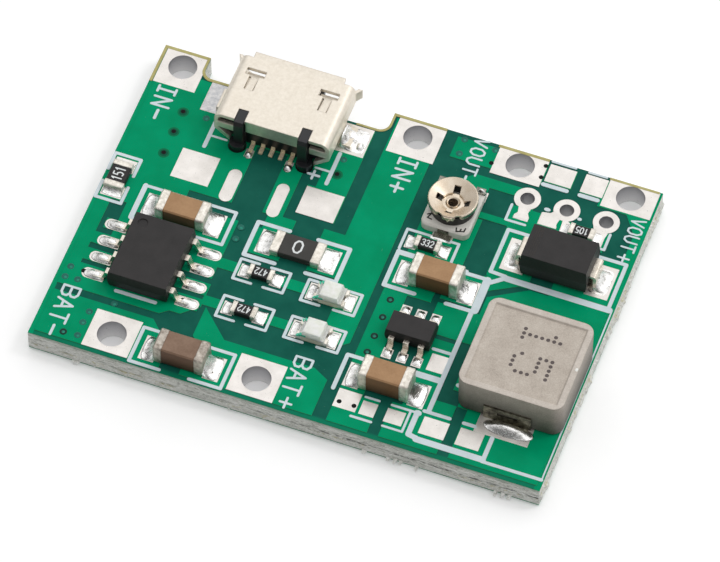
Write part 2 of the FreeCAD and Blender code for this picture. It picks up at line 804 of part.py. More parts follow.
def pour_solid(name, floor, height, inset="0"):
    """The copper areas as joined plates, each drawn in from its outline, standing on a floor."""
    rise = Vector(0, 0, number(height))
    plates = []
    for pour in POURS:
        area = pour_area(*pour)
        if number(inset):
            area = area.makeOffset2D(-number(inset), join=2)
        plates.append(area.extrude(rise))
    item = doc.addObject("Part::Feature", name)
    item.Shape = plates[0].fuse(plates[1:]).removeSplitter()
    item.Placement = Placement(Vector(0, 0, number(floor)), Rotation())
    return item


# What stays free of copper and mask: every land, wire pad, pin ring and peg hole
peg_plugs = []
for index, (x, y) in enumerate(PEG_SPOTS):
    plug = doc.addObject("Part::Cylinder", f"peg_area_{index}")
    bind(plug, Radius="peg_radius + peg_clearance", Height=LAYER)
    peg_plugs.append(place(plug, x, y, LAMINATE_TOP))
openings = fused("openings", [lands] + wire_blocks + ring_plugs + peg_plugs)
pours = pour_solid("pours", LAMINATE_TOP, "copper_thickness", "copper_cover")
node(boolean("Cut", "top_copper", pours, openings))

mask_sheet = board_plate("top_mask_sheet", LAMINATE_TOP, "mask_thickness")
mask_raised = pour_solid("top_mask_over_copper", LAMINATE_TOP, LAYER)
mask_blank = fused("top_mask_blank", [mask_sheet, mask_raised])
mask_hollow = boolean("Cut", "top_mask_hollow", mask_blank, pours)
node(boolean("Cut", "top_solder_mask", mask_hollow, openings))

bottom_blocks = [block(f"{name}_bottom_area", x, middle, "0", length, width, LAYER)
                 for name, x, _, length, width, middle in wire_pads()]
bottom_openings = group("bottom_openings", bottom_blocks)
bottom_sheet = drilled_plate("bottom_copper_sheet", "mask_thickness", "copper_thickness",
                             "header_ring_radius", "copper_edge")
bottom_copper = node(boolean("Cut", "bottom_copper", bottom_sheet, bottom_openings))
bottom_mask_sheet = drilled_plate("bottom_mask_sheet", "0", LAYER, "header_ring_radius")
bottom_mask_open = boolean("Cut", "bottom_mask_open", bottom_mask_sheet, bottom_openings)
node(boolean("Cut", "bottom_solder_mask", bottom_mask_open, bottom_copper))
doc.recompute()

# The socket. Its own frame lies at the middle of its rear edge on the board, with Y to the mouth.
def usb_body(name):
    return place(new_body(name), *USB, "board_thickness")


def shell_section(margin):
    """The socket's outline across its length, drawn in from the outside by a margin."""
    half = f"(shell_width / 2 - ({margin}))"
    foot = f"(shell_floor_width / 2 - ({margin}) / 2)"
    shoulder = f"(shell_shoulder + ({margin}) / 2)"
    return [(f"-{half}", shoulder), (f"-{foot}", margin), (foot, margin), (half, shoulder),
            (half, f"shell_height - ({margin})"), (f"-{half}", f"shell_height - ({margin})")]


shell = usb_body("usb_shell")
tube = draw(new_sketch(shell, "shell_outside", "XZ_Plane"), shell_section("0"))
pad(shell, "shell_block", tube, "shell_length", Reversed=True)
round_edges(shell, "shell_outer_corners", "shell_corner",
            lambda middle, run: abs(run.y) > 0.99 and middle.z > number("shell_height") - 0.01)
bore = draw(new_sketch(shell, "shell_inside", "XZ_Plane", offset="0"), shell_section("shell_wall"))
pocket(shell, "shell_bore", bore, "shell_length")
round_edges(shell, "shell_inner_corners", "shell_corner - shell_wall", lambda middle, run: abs(run.y) > 0.99
            and abs(middle.z - number("shell_height - shell_wall")) < 0.01)
for side, sign in (("left", "-"), ("right", "")):
    # The cut round a latch spring: a narrow arm that widens to a head at the front
    middle = f"({sign}window_spacing / 2)"
    arm, head = "window_arm / 2", "window_head / 2"
    cut = draw(new_sketch(shell, f"window_{side}", offset="shell_height"), [
        (f"{middle} - {arm}", "window_rear"), (f"{middle} + {arm}", "window_rear"),
        (f"{middle} + {arm}", "window_neck"), (f"{middle} + {head}", "window_neck"),
        (f"{middle} + {head}", "window_front"), (f"{middle} - {head}", "window_front"),
        (f"{middle} - {head}", "window_neck"), (f"{middle} - {arm}", "window_neck")])
    pocket(shell, f"latch_window_{side}", cut, "shell_wall * 1.5")
    notch = draw_box(new_sketch(shell, f"clip_notch_{side}_outline", offset="shell_height"),
                     f"({sign}clip_spacing / 2)", "clip_reach / 2", "clip_width + 2 * clip_gap",
                     "clip_reach + 2 * clip_gap")
    pocket(shell, f"clip_notch_{side}", notch, "shell_wall * 1.5")
floor_cut = draw_box(new_sketch(shell, "floor_opening_outline", offset="peg_collar + clip_gap"), "0",
                     "floor_opening / 2 - 0.1", "peg_spacing + 2 * (peg_radius + clip_gap)",
                     "floor_opening + 0.2")
pocket(shell, "floor_opening", floor_cut, "peg_collar + 2 * clip_gap")
for side, sign in (("left", "-"), ("right", "")):
    # The spring in the window, hinged at the window's rear end and dipping towards its head
    spring = new_sketch(shell, f"latch_spring_{side}_outline")
    spring.AttachmentOffset = Placement(Vector(), Rotation(Vector(1, 0, 0), -SIZES["spring_dip"]))
    bind(spring, AttachmentOffset__Base__x=f"{sign}window_spacing / 2",
         AttachmentOffset__Base__y="window_rear", AttachmentOffset__Base__z="shell_height - shell_wall")
    arm, head = "window_arm / 2 - spring_gap", "window_head / 2 - spring_gap"
    neck, tip = "window_neck - window_rear + spring_gap", "window_front - window_rear - 2 * spring_gap"
    draw(spring, [(f"-({arm})", "-0.1"), (arm, "-0.1"), (arm, neck), (head, neck), (head, tip),
                  (f"-({head})", tip), (f"-({head})", neck), (f"-({arm})", neck)])
    pad(shell, f"latch_spring_{side}", spring, "shell_wall * 0.7")
    tab_x = f"({sign}(shell_width / 2 - shell_wall / 2 - side_tab_reach / 2))"
    tab = draw_box(new_sketch(shell, f"side_tab_{side}_outline", "XZ_Plane"), tab_x, "side_tab_middle",
                   "side_tab_reach + shell_wall", "side_tab_height")
    pad(shell, f"side_tab_{side}", tab, "shell_wall", Reversed=True)
    foot_root, foot_tip = "(shell_floor_width / 2 - shell_wall)", "(shell_width / 2 + shell_foot_reach)"
    foot = draw_box(new_sketch(shell, f"shell_foot_{side}_outline"), f"{sign}({foot_root} + {foot_tip}) / 2",
                    "shell_foot_middle", f"{foot_tip} - {foot_root}", "shell_foot_width")
    pad(shell, f"shell_foot_{side}", foot, "shell_wall")
rear_wall = draw_box(new_sketch(shell, "rear_wall_outline", "XZ_Plane"), "0",
                     "shell_height - rear_wall_height / 2 - shell_wall / 2", "rear_wall_width",
                     "rear_wall_height - shell_wall")
pad(shell, "rear_wall", rear_wall, "shell_wall", Reversed=True)


def lip(name, plane, points, width):
    """A lip flared out of the mouth: a slanted strip drawn along the shell."""
    pad(shell, name, draw(new_sketch(shell, name + "_outline", plane[0], offset=plane[1]), points), width,
        SideType="Symmetric")


root, tip = "shell_length - 0.05", "shell_length + lip_length"
lip("top_lip", ("YZ_Plane", "0"), [
    (root, "shell_height - shell_wall"), (tip, "shell_height - shell_wall + top_lip_rise"),
    (tip, "shell_height + top_lip_rise"), (root, "shell_height")], "top_lip_width")
lip("floor_lip", ("YZ_Plane", "0"), [
    (root, "0"), (tip, "-lip_rise"), (tip, "shell_wall - lip_rise"), (root, "shell_wall")],
    "floor_lip_width")
for side, sign in (("left", "-"), ("right", "")):
    wall_out, wall_in = f"{sign}(shell_width / 2)", f"{sign}(shell_width / 2 - shell_wall)"
    lip(f"{side}_lip", ("XY_Plane", "(shell_height - shell_corner + shell_shoulder) / 2"), [
        (wall_in, root), (wall_out, root), (f"{sign}(shell_width / 2 + lip_rise)", tip),
        (f"{sign}(shell_width / 2 - shell_wall + lip_rise)", tip)], "side_lip_height * 0.8")
node(shell)

contacts = usb_body("usb_contacts")
rise = "tongue_floor - contact_thickness"
strip = draw(new_sketch(contacts, "contact_side", "YZ_Plane"), [
    ("-contact_foot", "0"), ("0.3", "0"), ("0.75", rise), ("0.75 + contact_reach", rise),
    ("0.75 + contact_reach", "tongue_floor"), ("0.65", "tongue_floor"), ("0.2", "contact_thickness"),
    ("-contact_foot", "contact_thickness")])
contact = pad(contacts, "contact", strip, "contact_width", SideType="Symmetric")
bind(contacts, Placement__Base__x=f"{USB[0]} - 2 * contact_pitch")
pattern(contacts, "contact_row", contact, "X_Axis", "4 * contact_pitch", 5)
node(contacts)

housing = usb_body("usb_housing_blank")
block_section = draw(new_sketch(housing, "housing_section", "XZ_Plane", offset="-(shell_wall + clip_gap)"),
                     shell_section("shell_wall + clip_gap"))
pad(housing, "housing_block", block_section, "housing_depth - shell_wall - clip_gap", Reversed=True)
round_edges(housing, "housing_corners", "shell_corner - shell_wall - clip_gap", lambda middle, run:
            abs(run.y) > 0.99 and middle.z > number("shell_height - shell_wall - clip_gap") - 0.01)
sole = draw_box(new_sketch(housing, "housing_sole_outline"), "0", "shell_wall + clip_gap + 0.4",
                "peg_spacing + peg_radius", "0.8")
pad(housing, "housing_sole", sole, "shell_shoulder")
tongue = draw_box(new_sketch(housing, "tongue_outline", offset="tongue_floor"), "0",
                  "housing_depth + tongue_length / 2 - 0.05", "tongue_width", "tongue_length + 0.1")
pad(housing, "tongue", tongue, "tongue_thickness")
for side, sign in (("left", "-"), ("right", "")):
    clip = draw(new_sketch(housing, f"clip_{side}_outline", "YZ_Plane", offset=f"{sign}clip_spacing / 2"), [
        ("-housing_back", "0"), ("shell_wall + clip_gap + 0.1", "0"),
        ("shell_wall + clip_gap + 0.1", "shell_height - shell_wall - clip_gap - 0.2"),
        ("clip_reach", "shell_height - shell_wall - clip_gap - 0.2"),
        ("clip_reach", "shell_height - 0.03"), ("-housing_back * 0.6", "shell_height - 0.03"),
        ("-housing_back", "shell_height - 0.3")])
    pad(housing, f"clip_{side}", clip, "clip_width", SideType="Symmetric")
    peg = draw_circle(new_sketch(housing, f"peg_{side}_outline", offset="-peg_depth"),
                      f"{sign}peg_spacing / 2", "-peg_setback", "peg_radius")
    pad(housing, f"peg_{side}", peg, "peg_depth + peg_collar")
usb_housing = node(boolean("Cut", "usb_housing", housing, contacts))
doc.recompute()


def moulded_chip(name, spot, length, width, height, dimple=None):
    """A moulded chip body, widest at the mould's parting line half way up."""
    body = place(new_body(name), *spot, "board_thickness + chip_standoff")
    half = f"({height} - chip_standoff) / 2"
    outline = draw_box(new_sketch(body, name + "_outline", offset=half), "0", "0", length, width)
    pad(body, name + "_block", outline, half, SideType="Two sides", Length2=half,
        TaperAngle="-chip_draft", TaperAngle2="-chip_draft")
    if dimple:
        spot = draw_circle(new_sketch(body, name + "_dimple_outline", offset=f"{height} - chip_standoff"),
                           f"-{length} / 2 + 2.3 * {dimple}", f"{width} / 2 - 2.3 * {dimple}", dimple)
        pocket(body, name + "_dimple", spot, "dimple_depth")
    return node(body)


def gull_wings(name, spot, turned, inner, span, standoff_middle, foot, width, pitch, count):
    """Bent leads on two sides of a chip: out of the parting line, down, and a foot on the land."""
    body = place(new_body(name), *spot, "board_thickness", turned)
    sketch = new_sketch(body, name + "_side", "XZ_Plane")
    high, low = f"{standoff_middle} + lead_thickness / 2", f"{standoff_middle} - lead_thickness / 2"
    start, tip = f"{inner} / 2", f"{span} / 2"
    knee, heel = f"{inner} / 2 + lead_shoulder", f"{span} / 2 - {foot}"
    for sign in ("", "-"):
        draw(sketch, [(f"{sign}({x})", z) for x, z in (
            (start, high), (f"{knee} + lead_thickness / 3", high), (f"{heel} + lead_thickness / 3",
            "lead_thickness"), (tip, "lead_thickness"), (tip, "0"), (f"{heel} - lead_thickness / 3", "0"),
            (f"{knee} - lead_thickness / 3", low), (start, low))])
    leads = pad(body, name + "_pair", sketch, width, SideType="Symmetric")
    axis_x, axis_y = spot
    shift = f"{pitch} * {count - 1} / 2"
    if turned:
        bind(body, Placement__Base__x=f"{axis_x} + {shift}")
    else:
        bind(body, Placement__Base__y=f"{axis_y} - {shift}")
    pattern(body, name + "_row", leads, "Y_Axis", f"{pitch} * {count - 1}", count)
    return node(body)


moulded_chip("charger_chip_body", CHARGER, "charger_width", "charger_length", "charger_height",
             "charger_dimple")
gull_wings("charger_chip_leads", CHARGER, 0, "charger_width", "charger_span",
           "(charger_height + chip_standoff) / 2", "charger_foot", "charger_lead_width", "charger_pitch", 4)
moulded_chip("boost_chip_body", BOOST, "boost_length", "boost_width", "boost_height")
gull_wings("boost_chip_leads", BOOST, 90, "boost_width", "boost_span",
           "(boost_height + chip_standoff) / 2", "boost_foot", "boost_lead_width", "boost_pitch", 3)

# The diode: a moulded block on two strips that fold under it
diode = place(new_body("diode_body"), *DIODE, "board_thickness + diode_strip_thickness")
half_height = "(diode_height - diode_strip_thickness) / 2"
diode_outline = draw_box(new_sketch(diode, "diode_outline", offset=half_height), "0", "0",
                         "diode_length", "diode_width")
pad(diode, "diode_block", diode_outline, half_height, SideType="Two sides", Length2=half_height,
    TaperAngle="-diode_draft", TaperAngle2="-diode_draft")
node(diode)
diode_leads = place(new_body("diode_leads"), *DIODE, "board_thickness")
strips = new_sketch(diode_leads, "diode_strip_side", "XZ_Plane")
strip_middle = "((diode_height + diode_strip_thickness) / 2)"
outer = "(diode_length / 2 + diode_strip_reach)"
for sign in ("", "-"):
    draw(strips, [(f"{sign}({x})", z) for x, z in (
        ("diode_length / 2", f"{strip_middle} + diode_strip_thickness / 2"),
        (outer, f"{strip_middle} + diode_strip_thickness / 2"), (outer, "0"),
        (f"{outer} - diode_strip_foot", "0"), (f"{outer} - diode_strip_foot", "diode_strip_thickness"),
        (f"{outer} - diode_strip_thickness", "diode_strip_thickness"),
        (f"{outer} - diode_strip_thickness", f"{strip_middle} - diode_strip_thickness / 2"),
        ("diode_length / 2", f"{strip_middle} - diode_strip_thickness / 2"))])
pad(diode_leads, "diode_strips", strips, "diode_strip_width", SideType="Symmetric")
outer_x = number(outer)
round_edges(diode_leads, "diode_strip_bends", "diode_strip_bend",
            lambda middle, run: abs(run.y) > 0.99 and abs(abs(middle.x) - outer_x) < 0.01)
node(diode_leads)

# The inductor: a pressed block with a raised rim, on a clip at its front and back
inductor = place(new_body("inductor_body"), *INDUCTOR, "board_thickness + terminal_thickness")
outline = draw_box(new_sketch(inductor, "inductor_outline"), "0", "0", "inductor_length", "inductor_width")
pad(inductor, "inductor_block", outline, "inductor_height - terminal_thickness")
round_edges(inductor, "inductor_corners", "inductor_corner", upright)
tray = draw_box(new_sketch(inductor, "inductor_tray_outline", offset="inductor_height - terminal_thickness"),
                "0", "0", "inductor_length - 2 * inductor_rim", "inductor_width - 2 * inductor_rim")
pocket(inductor, "inductor_tray_floor", tray, "inductor_tray", TaperAngle="-45")
node(inductor)
clips = place(new_body("inductor_terminals"), *INDUCTOR, "board_thickness")
clip_sides = new_sketch(clips, "inductor_clip_side", "YZ_Plane")
wall = "(inductor_width / 2 + terminal_thickness)"
for sign in ("", "-"):
    draw(clip_sides, [(f"{sign}({y})", z) for y, z in (
        (wall, "0"), (wall, "terminal_height"), ("inductor_width / 2", "terminal_height"),
        ("inductor_width / 2", "terminal_thickness"),
        (f"{wall} - terminal_foot", "terminal_thickness"), (f"{wall} - terminal_foot", "0"))])
pad(clips, "inductor_clips", clip_sides, "terminal_width", SideType="Symmetric")
clip_window = draw_box(new_sketch(clips, "clip_window_outline", "XZ_Plane", offset=wall), "0",
                       "terminal_window_floor + terminal_window_height / 2", "terminal_window_width",
                       "terminal_window_height")
pocket(clips, "clip_windows", clip_window, f"2 * {wall}")
node(clips)
doc.recompute()


def chip_part(name, x, y, length, width, height, end, bevel, turned=0):
    """A ceramic chip and the metal caps on its two ends."""
    body = place(new_body(name + "_body"), x, y, "board_thickness + end_thickness", turned)
    core = draw_box(new_sketch(body, name + "_core_outline"), "0", "0", f"{length} - 2 * end_thickness",
                    f"{width} - 2 * end_thickness")
    pad(body, name + "_core", core, f"{height} - 2 * end_thickness")
    bevel_edges(body, name + "_core_edges", bevel, lambda middle, run: True)
    node(body)
    caps = place(new_body(name + "_caps"), x, y, "board_thickness", turned)
    outline = draw_box(new_sketch(caps, name + "_caps_outline"), "0", "0", length, width)
    pad(caps, name + "_caps_block", outline, height)
    bevel_edges(caps, name + "_caps_edges", bevel, lambda middle, run: True)
    gap = draw_box(new_sketch(caps, name + "_caps_gap_outline", offset=height), "0", "0",
                   f"{length} - 2 * {end}", f"{width} * 2")
    pocket(caps, name + "_caps_gap", gap, height)
    return node(boolean("Cut", name + "_ends", caps, body))


for name, x, y in CAPACITORS:
    chip_part(name, x, y, "capacitor_length", "capacitor_width", name + "_height", "big_end",
              "capacitor_bevel")
for name, x, y, family, turned in RESISTORS:
    chip_part(name, x, y, family + "_resistor_length", family + "_resistor_width",
              family + "_resistor_height", family + "_end", "resistor_bevel", turned)


def lamp(name, x, y):
    """An indicator lamp: a carrier plate, plated ends with a half-round notch, and a clear lens."""
    base = place(new_body(name + "_base"), x, y, "board_thickness")
    outline = draw_box(new_sketch(base, name + "_base_outline"), "0", "0", "led_length - 2 * led_end",
                       "led_width")
    pad(base, name + "_base_plate", outline, "led_base_height")
    node(base)
    ends = place(new_body(name + "_ends"), x, y, "board_thickness")
    ends_sketch = new_sketch(ends, name + "_ends_outline")
    for side in "-+":
        draw_box(ends_sketch, f"(0 {side} (led_length - led_end) / 2)", "0", "led_end", "led_width")
    pad(ends, name + "_ends_plates", ends_sketch, "led_base_height")
    notches = new_sketch(ends, name + "_notches_outline", offset="led_base_height")
    for side in "-+":
        draw_circle(notches, f"(0 {side} led_length / 2)", "0", "led_end_notch")
    pocket(ends, name + "_notches", notches, "led_base_height")
    node(ends)
    lens = place(new_body(name + "_lens"), x, y, "board_thickness + led_base_height")
    step = draw_box(new_sketch(lens, name + "_lens_step_outline"), "0", "0", "led_step_length", "led_width")
    pad(lens, name + "_lens_step", step, "led_step_height")
    lens_outline = draw_box(new_sketch(lens, name + "_lens_outline", offset="led_step_height"), "0", "0",
                            "led_lens_length", "led_width")
    pad(lens, name + "_lens_block", lens_outline, "led_height - led_base_height - led_step_height",
        TaperAngle="-led_lens_draft")
    node(lens)


for name, x, y in LEDS:
    lamp(name, x, y)
doc.recompute()

# The trimmer. Its own frame lies on the dial's axis on the board.
ROTOR_FLOOR = "(trimmer_base_height + track_height + rotor_gap)"
BORE_FLOOR = f"({ROTOR_FLOOR} + rotor_skirt - rotor_dish - rotor_sheet)"


def trimmer_body(name, height="0", turned=0):
    return place(new_body(name), *TRIMMER, f"board_thickness + {height}", turned)


def revolved(body, name, points):
    """A turned piece: its half section in the XZ plane, turned about the vertical."""
    sketch = draw(new_sketch(body, name + "_section", "XZ_Plane"), points)
    item = body.newObject("PartDesign::Revolution", name)
    item.Profile = sketch
    item.ReferenceAxis = (sketch, ["V_Axis"])
    item.Angle = 360
    doc.recompute()
    return item


base = trimmer_body("trimmer_base")
outline = draw_box(new_sketch(base, "trimmer_base_outline"), "0", "0", "trimmer_length", "trimmer_width")
pad(base, "trimmer_base_block", outline, "trimmer_base_height")
round_edges(base, "trimmer_front_corners", "trimmer_corner",
            lambda middle, run: abs(run.z) > 0.99 and middle.y < 0)
bevel_edges(base, "trimmer_top_edges", "trimmer_edge", lambda middle, run: abs(run.z) < 0.01
            and middle.z > number("trimmer_base_height") - 0.01 and middle.y < number("trimmer_width / 2") - 0.01)
eyelet_hole = draw_circle(new_sketch(base, "eyelet_hole_outline", offset="trimmer_base_height"), "0", "0",
                          "eyelet_bore + eyelet_lip / 2")
pocket(base, "eyelet_hole", eyelet_hole, "trimmer_base_height")
node(base)

track = trimmer_body("trimmer_track", "trimmer_base_height")
ring = new_sketch(track, "track_outline")
draw_circle(ring, "0", "0", "track_radius")
draw_circle(ring, "0", "0", "track_bore")
pad(track, "track_ring", ring, "track_height")
node(track)

# The eyelet: a shank through the base, a shoulder under the dial and a rolled lip up in its bore
eyelet = trimmer_body("trimmer_eyelet")
shank, roll = "eyelet_bore + eyelet_lip / 2", "eyelet_bore + eyelet_lip"
shoulder_top = f"{BORE_FLOOR} - rotor_gap"
revolved(eyelet, "eyelet_turned", [
    ("eyelet_bore", "0.05"), (shank, "0.05"), (shank, "trimmer_base_height"),
    ("eyelet_shoulder", "trimmer_base_height"), ("eyelet_shoulder", shoulder_top), (roll, shoulder_top),
    (shank, f"{shoulder_top} + rotor_sheet"), ("eyelet_bore", f"{shoulder_top} + rotor_sheet / 2")])
node(eyelet)

# The dial: sheet dished towards its bore, with a skirt, four slots and a pointer between two notches
rotor = trimmer_body("trimmer_rotor", ROTOR_FLOOR, SIZES["dial_turn"])
skirt = "(rotor_radius - rotor_sheet)"
revolved(rotor, "rotor_turned", [
    ("rotor_bore", "rotor_skirt - rotor_dish - rotor_sheet"), (skirt, "rotor_skirt - 1.2 * rotor_sheet"),
    (skirt, "0"), ("rotor_radius", "0"), ("rotor_radius", "rotor_skirt - rotor_crown"),
    ("rotor_radius - rotor_crown", "rotor_skirt"), ("rotor_bore", "rotor_skirt - rotor_dish")])
for index in range(4):
    slot = new_sketch(rotor, f"slot_{index}_outline")
    slot.AttachmentOffset = Placement(Vector(), Rotation(UP, 90 * index + SIZES["slot_turn"]))
    bind(slot, AttachmentOffset__Base__z="rotor_skirt")
    draw_box(slot, "(rotor_bore + slot_reach) / 2 - 0.05", "0", "slot_reach - rotor_bore + 0.1", "slot_width")
    pocket(rotor, f"slot_{index}", slot, "rotor_dish + rotor_sheet")
for index, sign in enumerate((-1, 1)):
    notch = new_sketch(rotor, f"rim_notch_{index}_outline")
    notch.AttachmentOffset = Placement(Vector(), Rotation(UP, -90 + sign * SIZES["rim_notch_turn"]))
    bind(notch, AttachmentOffset__Base__z="rotor_skirt")
    draw_circle(notch, "rotor_radius + rim_notch_radius - rim_notch_depth", "0", "rim_notch_radius")
    pocket(rotor, f"rim_notch_{index}", notch, "rotor_skirt")
pointer_top = "(rotor_skirt - rotor_crown)"
pointer = draw(new_sketch(rotor, "pointer_outline", "XZ_Plane", offset="rotor_radius - rotor_sheet / 2"), [
    ("-pointer_width / 2", pointer_top), ("0", f"{pointer_top} - pointer_drop"),
    ("pointer_width / 2", pointer_top)])
pad(rotor, "pointer", pointer, "rotor_sheet * 0.7")
node(rotor)

terminals = trimmer_body("trimmer_terminals")
front_strip = new_sketch(terminals, "front_terminal_outline", "XZ_Plane", offset="trimmer_width / 2")
draw_box(front_strip, "0", "front_terminal_height / 2", "front_terminal_width", "front_terminal_height")
pad(terminals, "front_terminal", front_strip, "trimmer_strip")
front_foot = new_sketch(terminals, "front_foot_outline", "XZ_Plane", offset="trimmer_width / 2")
draw_box(front_foot, "0", "trimmer_strip / 2", "front_foot_width", "trimmer_strip")
pad(terminals, "front_foot", front_foot, "front_foot_reach")
for side, sign in (("left", "-"), ("right", "")):
    back_strip = new_sketch(terminals, f"back_terminal_{side}_side", "YZ_Plane",
                            offset=f"{sign}back_terminal_spacing / 2")
    back_wall = "trimmer_width / 2"
    draw(back_strip, [(back_wall, "0"), (f"{back_wall} + trimmer_strip", "0"),
                      (f"{back_wall} + trimmer_strip", "trimmer_base_height + trimmer_strip"),
                      (f"{back_wall} - 0.3", "trimmer_base_height + trimmer_strip"),
                      (f"{back_wall} - 0.3", "trimmer_base_height"), (back_wall, "trimmer_base_height")])
    pad(terminals, f"back_terminal_{side}", back_strip, "back_terminal_width", SideType="Symmetric")
node(terminals)
doc.recompute()


# Solder fillets: name, foot of the joint, direction it runs out, reach, width and height
def fillet(name, x, y, turned, reach, width, height):
    """A wedge of solder against an upright face, running out over the land."""
    wedge = doc.addObject("Part::Wedge", name)
    bind(wedge, Xmin="0", Xmax=reach, X2min="0", X2max=f"{reach} * 0.15", Ymin="0", Ymax=height,
         Zmin=f"-{width} / 2", Zmax=f"{width} / 2", Z2min=f"-{width} / 2", Z2max=f"{width} / 2")
    upright_turn = Rotation(UP, turned).multiply(Rotation(Vector(1, 0, 0), 90))
    wedge.Placement = Placement(Vector(), upright_turn)
    return bind(wedge, Placement__Base__x=x, Placement__Base__y=y, Placement__Base__z="board_thickness")


joints = []


def fillet_pair(name, spot, turned, half, reach, width, height):
    """Fillets at both ends of a part."""
    x, y = spot
    for side, sign, turn in (("low", "-", 180), ("high", "+", 0)):
        if turned:
            joints.append(fillet(f"{name}_{side}", x, f"{y} {sign} ({half})", turn + 90, reach, width, height))
        else:
            joints.append(fillet(f"{name}_{side}", f"{x} {sign} ({half})", y, turn, reach, width, height))


for name, x, y in CAPACITORS:
    fillet_pair(name + "_joint", (x, y), 0, "capacitor_length / 2",
                "(big_land_middle + big_land_length / 2 - capacitor_length / 2) * 0.7",
                "capacitor_width * 0.9", f"{name}_height * 0.6")
for name, x, y, family, turned in RESISTORS:
    length = f"{family}_resistor_length"
    fillet_pair(name + "_joint", (x, y), turned, f"{length} / 2",
                f"({family}_land_middle + {family}_land_length / 2 - {length} / 2) * 0.8",
                f"{family}_resistor_width * 0.9", f"{family}_resistor_height * 0.6")
for name, x, y in LEDS:
    fillet_pair(name + "_joint", (x, y), 0, "led_length / 2",
                "(led_land_middle + led_land_length / 2 - led_length / 2) * 0.8", "led_width * 0.9",
                "led_base_height * 0.8")
fillet_pair("diode_joint", DIODE, 0, outer, "(diode_land_middle + diode_land_length / 2 - diode_length / 2"
            " - diode_strip_reach) * 0.8", "diode_strip_width", "diode_height * 0.4")
fillet_pair("inductor_joint", INDUCTOR, 90, wall, "0.7", "terminal_width", "terminal_height * 0.5")
solder = node(group("solder_joints", joints))
doc.recompute()

# Every feature has to be sound before anything is written
for item in doc.Objects:
    if "Invalid" in item.State or "Error" in item.State:
        raise ValueError(f"{item.Label} failed: {item.State}")
for item in nodes:
    if item.Shape.isNull() or not item.Shape.isValid():
        raise ValueError(f"{item.Label} has no sound shape")
os.makedirs("parts", exist_ok=True)
for item in nodes:
    item.Shape.exportStep(f"parts/{item.Label}.step")
print(len(nodes), "pieces")
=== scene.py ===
"""Looks of the charge and boost converter board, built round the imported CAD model."""

import math
import random

import bpy
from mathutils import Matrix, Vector


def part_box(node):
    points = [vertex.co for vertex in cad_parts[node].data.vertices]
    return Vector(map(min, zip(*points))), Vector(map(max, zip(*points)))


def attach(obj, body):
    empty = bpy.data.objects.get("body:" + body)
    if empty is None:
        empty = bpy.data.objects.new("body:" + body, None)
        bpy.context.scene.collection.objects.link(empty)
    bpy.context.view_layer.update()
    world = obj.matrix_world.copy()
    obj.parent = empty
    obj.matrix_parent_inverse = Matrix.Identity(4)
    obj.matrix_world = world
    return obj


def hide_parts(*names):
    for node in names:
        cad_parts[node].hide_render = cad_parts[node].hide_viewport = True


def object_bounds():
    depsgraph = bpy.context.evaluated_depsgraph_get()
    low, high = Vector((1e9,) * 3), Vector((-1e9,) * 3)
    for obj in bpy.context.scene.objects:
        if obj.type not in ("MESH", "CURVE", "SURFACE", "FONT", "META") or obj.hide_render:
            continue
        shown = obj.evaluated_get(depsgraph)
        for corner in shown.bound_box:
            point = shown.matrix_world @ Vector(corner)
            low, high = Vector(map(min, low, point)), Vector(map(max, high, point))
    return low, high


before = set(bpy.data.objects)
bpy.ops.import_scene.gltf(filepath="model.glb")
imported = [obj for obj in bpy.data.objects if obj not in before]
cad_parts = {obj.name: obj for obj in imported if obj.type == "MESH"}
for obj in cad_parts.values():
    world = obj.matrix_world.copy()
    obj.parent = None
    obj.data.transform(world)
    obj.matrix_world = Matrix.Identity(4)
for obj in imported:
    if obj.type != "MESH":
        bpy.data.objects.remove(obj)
cad_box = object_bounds()
MM = 0.001


def mm(length):
    """A length of the frame in millimetres, to a micrometre."""
    return round(length / MM, 3)


# The board's front left corner on its parts side, and its length and width, mm
CORNER = Vector((mm(cad_box[0][0]), mm(cad_box[0][1]), mm(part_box("top_solder_mask")[1][2])))
LENGTH, WIDTH = mm(cad_box[1][0] - cad_box[0][0]), mm(cad_box[1][1] - cad_box[0][1])


def at(x, y, z=0.0):
    """A point of the board in the row frame: x to the right, y to the back, z above its top, mm."""
    return (CORNER + Vector((x, y, z))) * MM


def board_box(name):
    """A node's lowest and highest corners, as such points of the board."""
    return [[round(value / MM - start, 3) for value, start in zip(corner, CORNER)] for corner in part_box(name)]


def middle(name):
    """The middle of a node as x and y on the board."""
    low, high = board_box(name)
    return round((low[0] + high[0]) / 2, 3), round((low[1] + high[1]) / 2, 3)


def top_of(name):
    """How high a node stands above the board."""
    return board_box(name)[1][2]


# Materials
def linear(code):
    """A colour code as seen on screen, such as "00996a", in the renderer's own numbers."""
    values = [int(code[i:i + 2], 16) / 255 for i in (0, 2, 4)]
    return tuple(v / 12.92 if v <= 0.04045 else ((v + 0.055) / 1.055) ** 2.4 for v in values) + (1.0,)


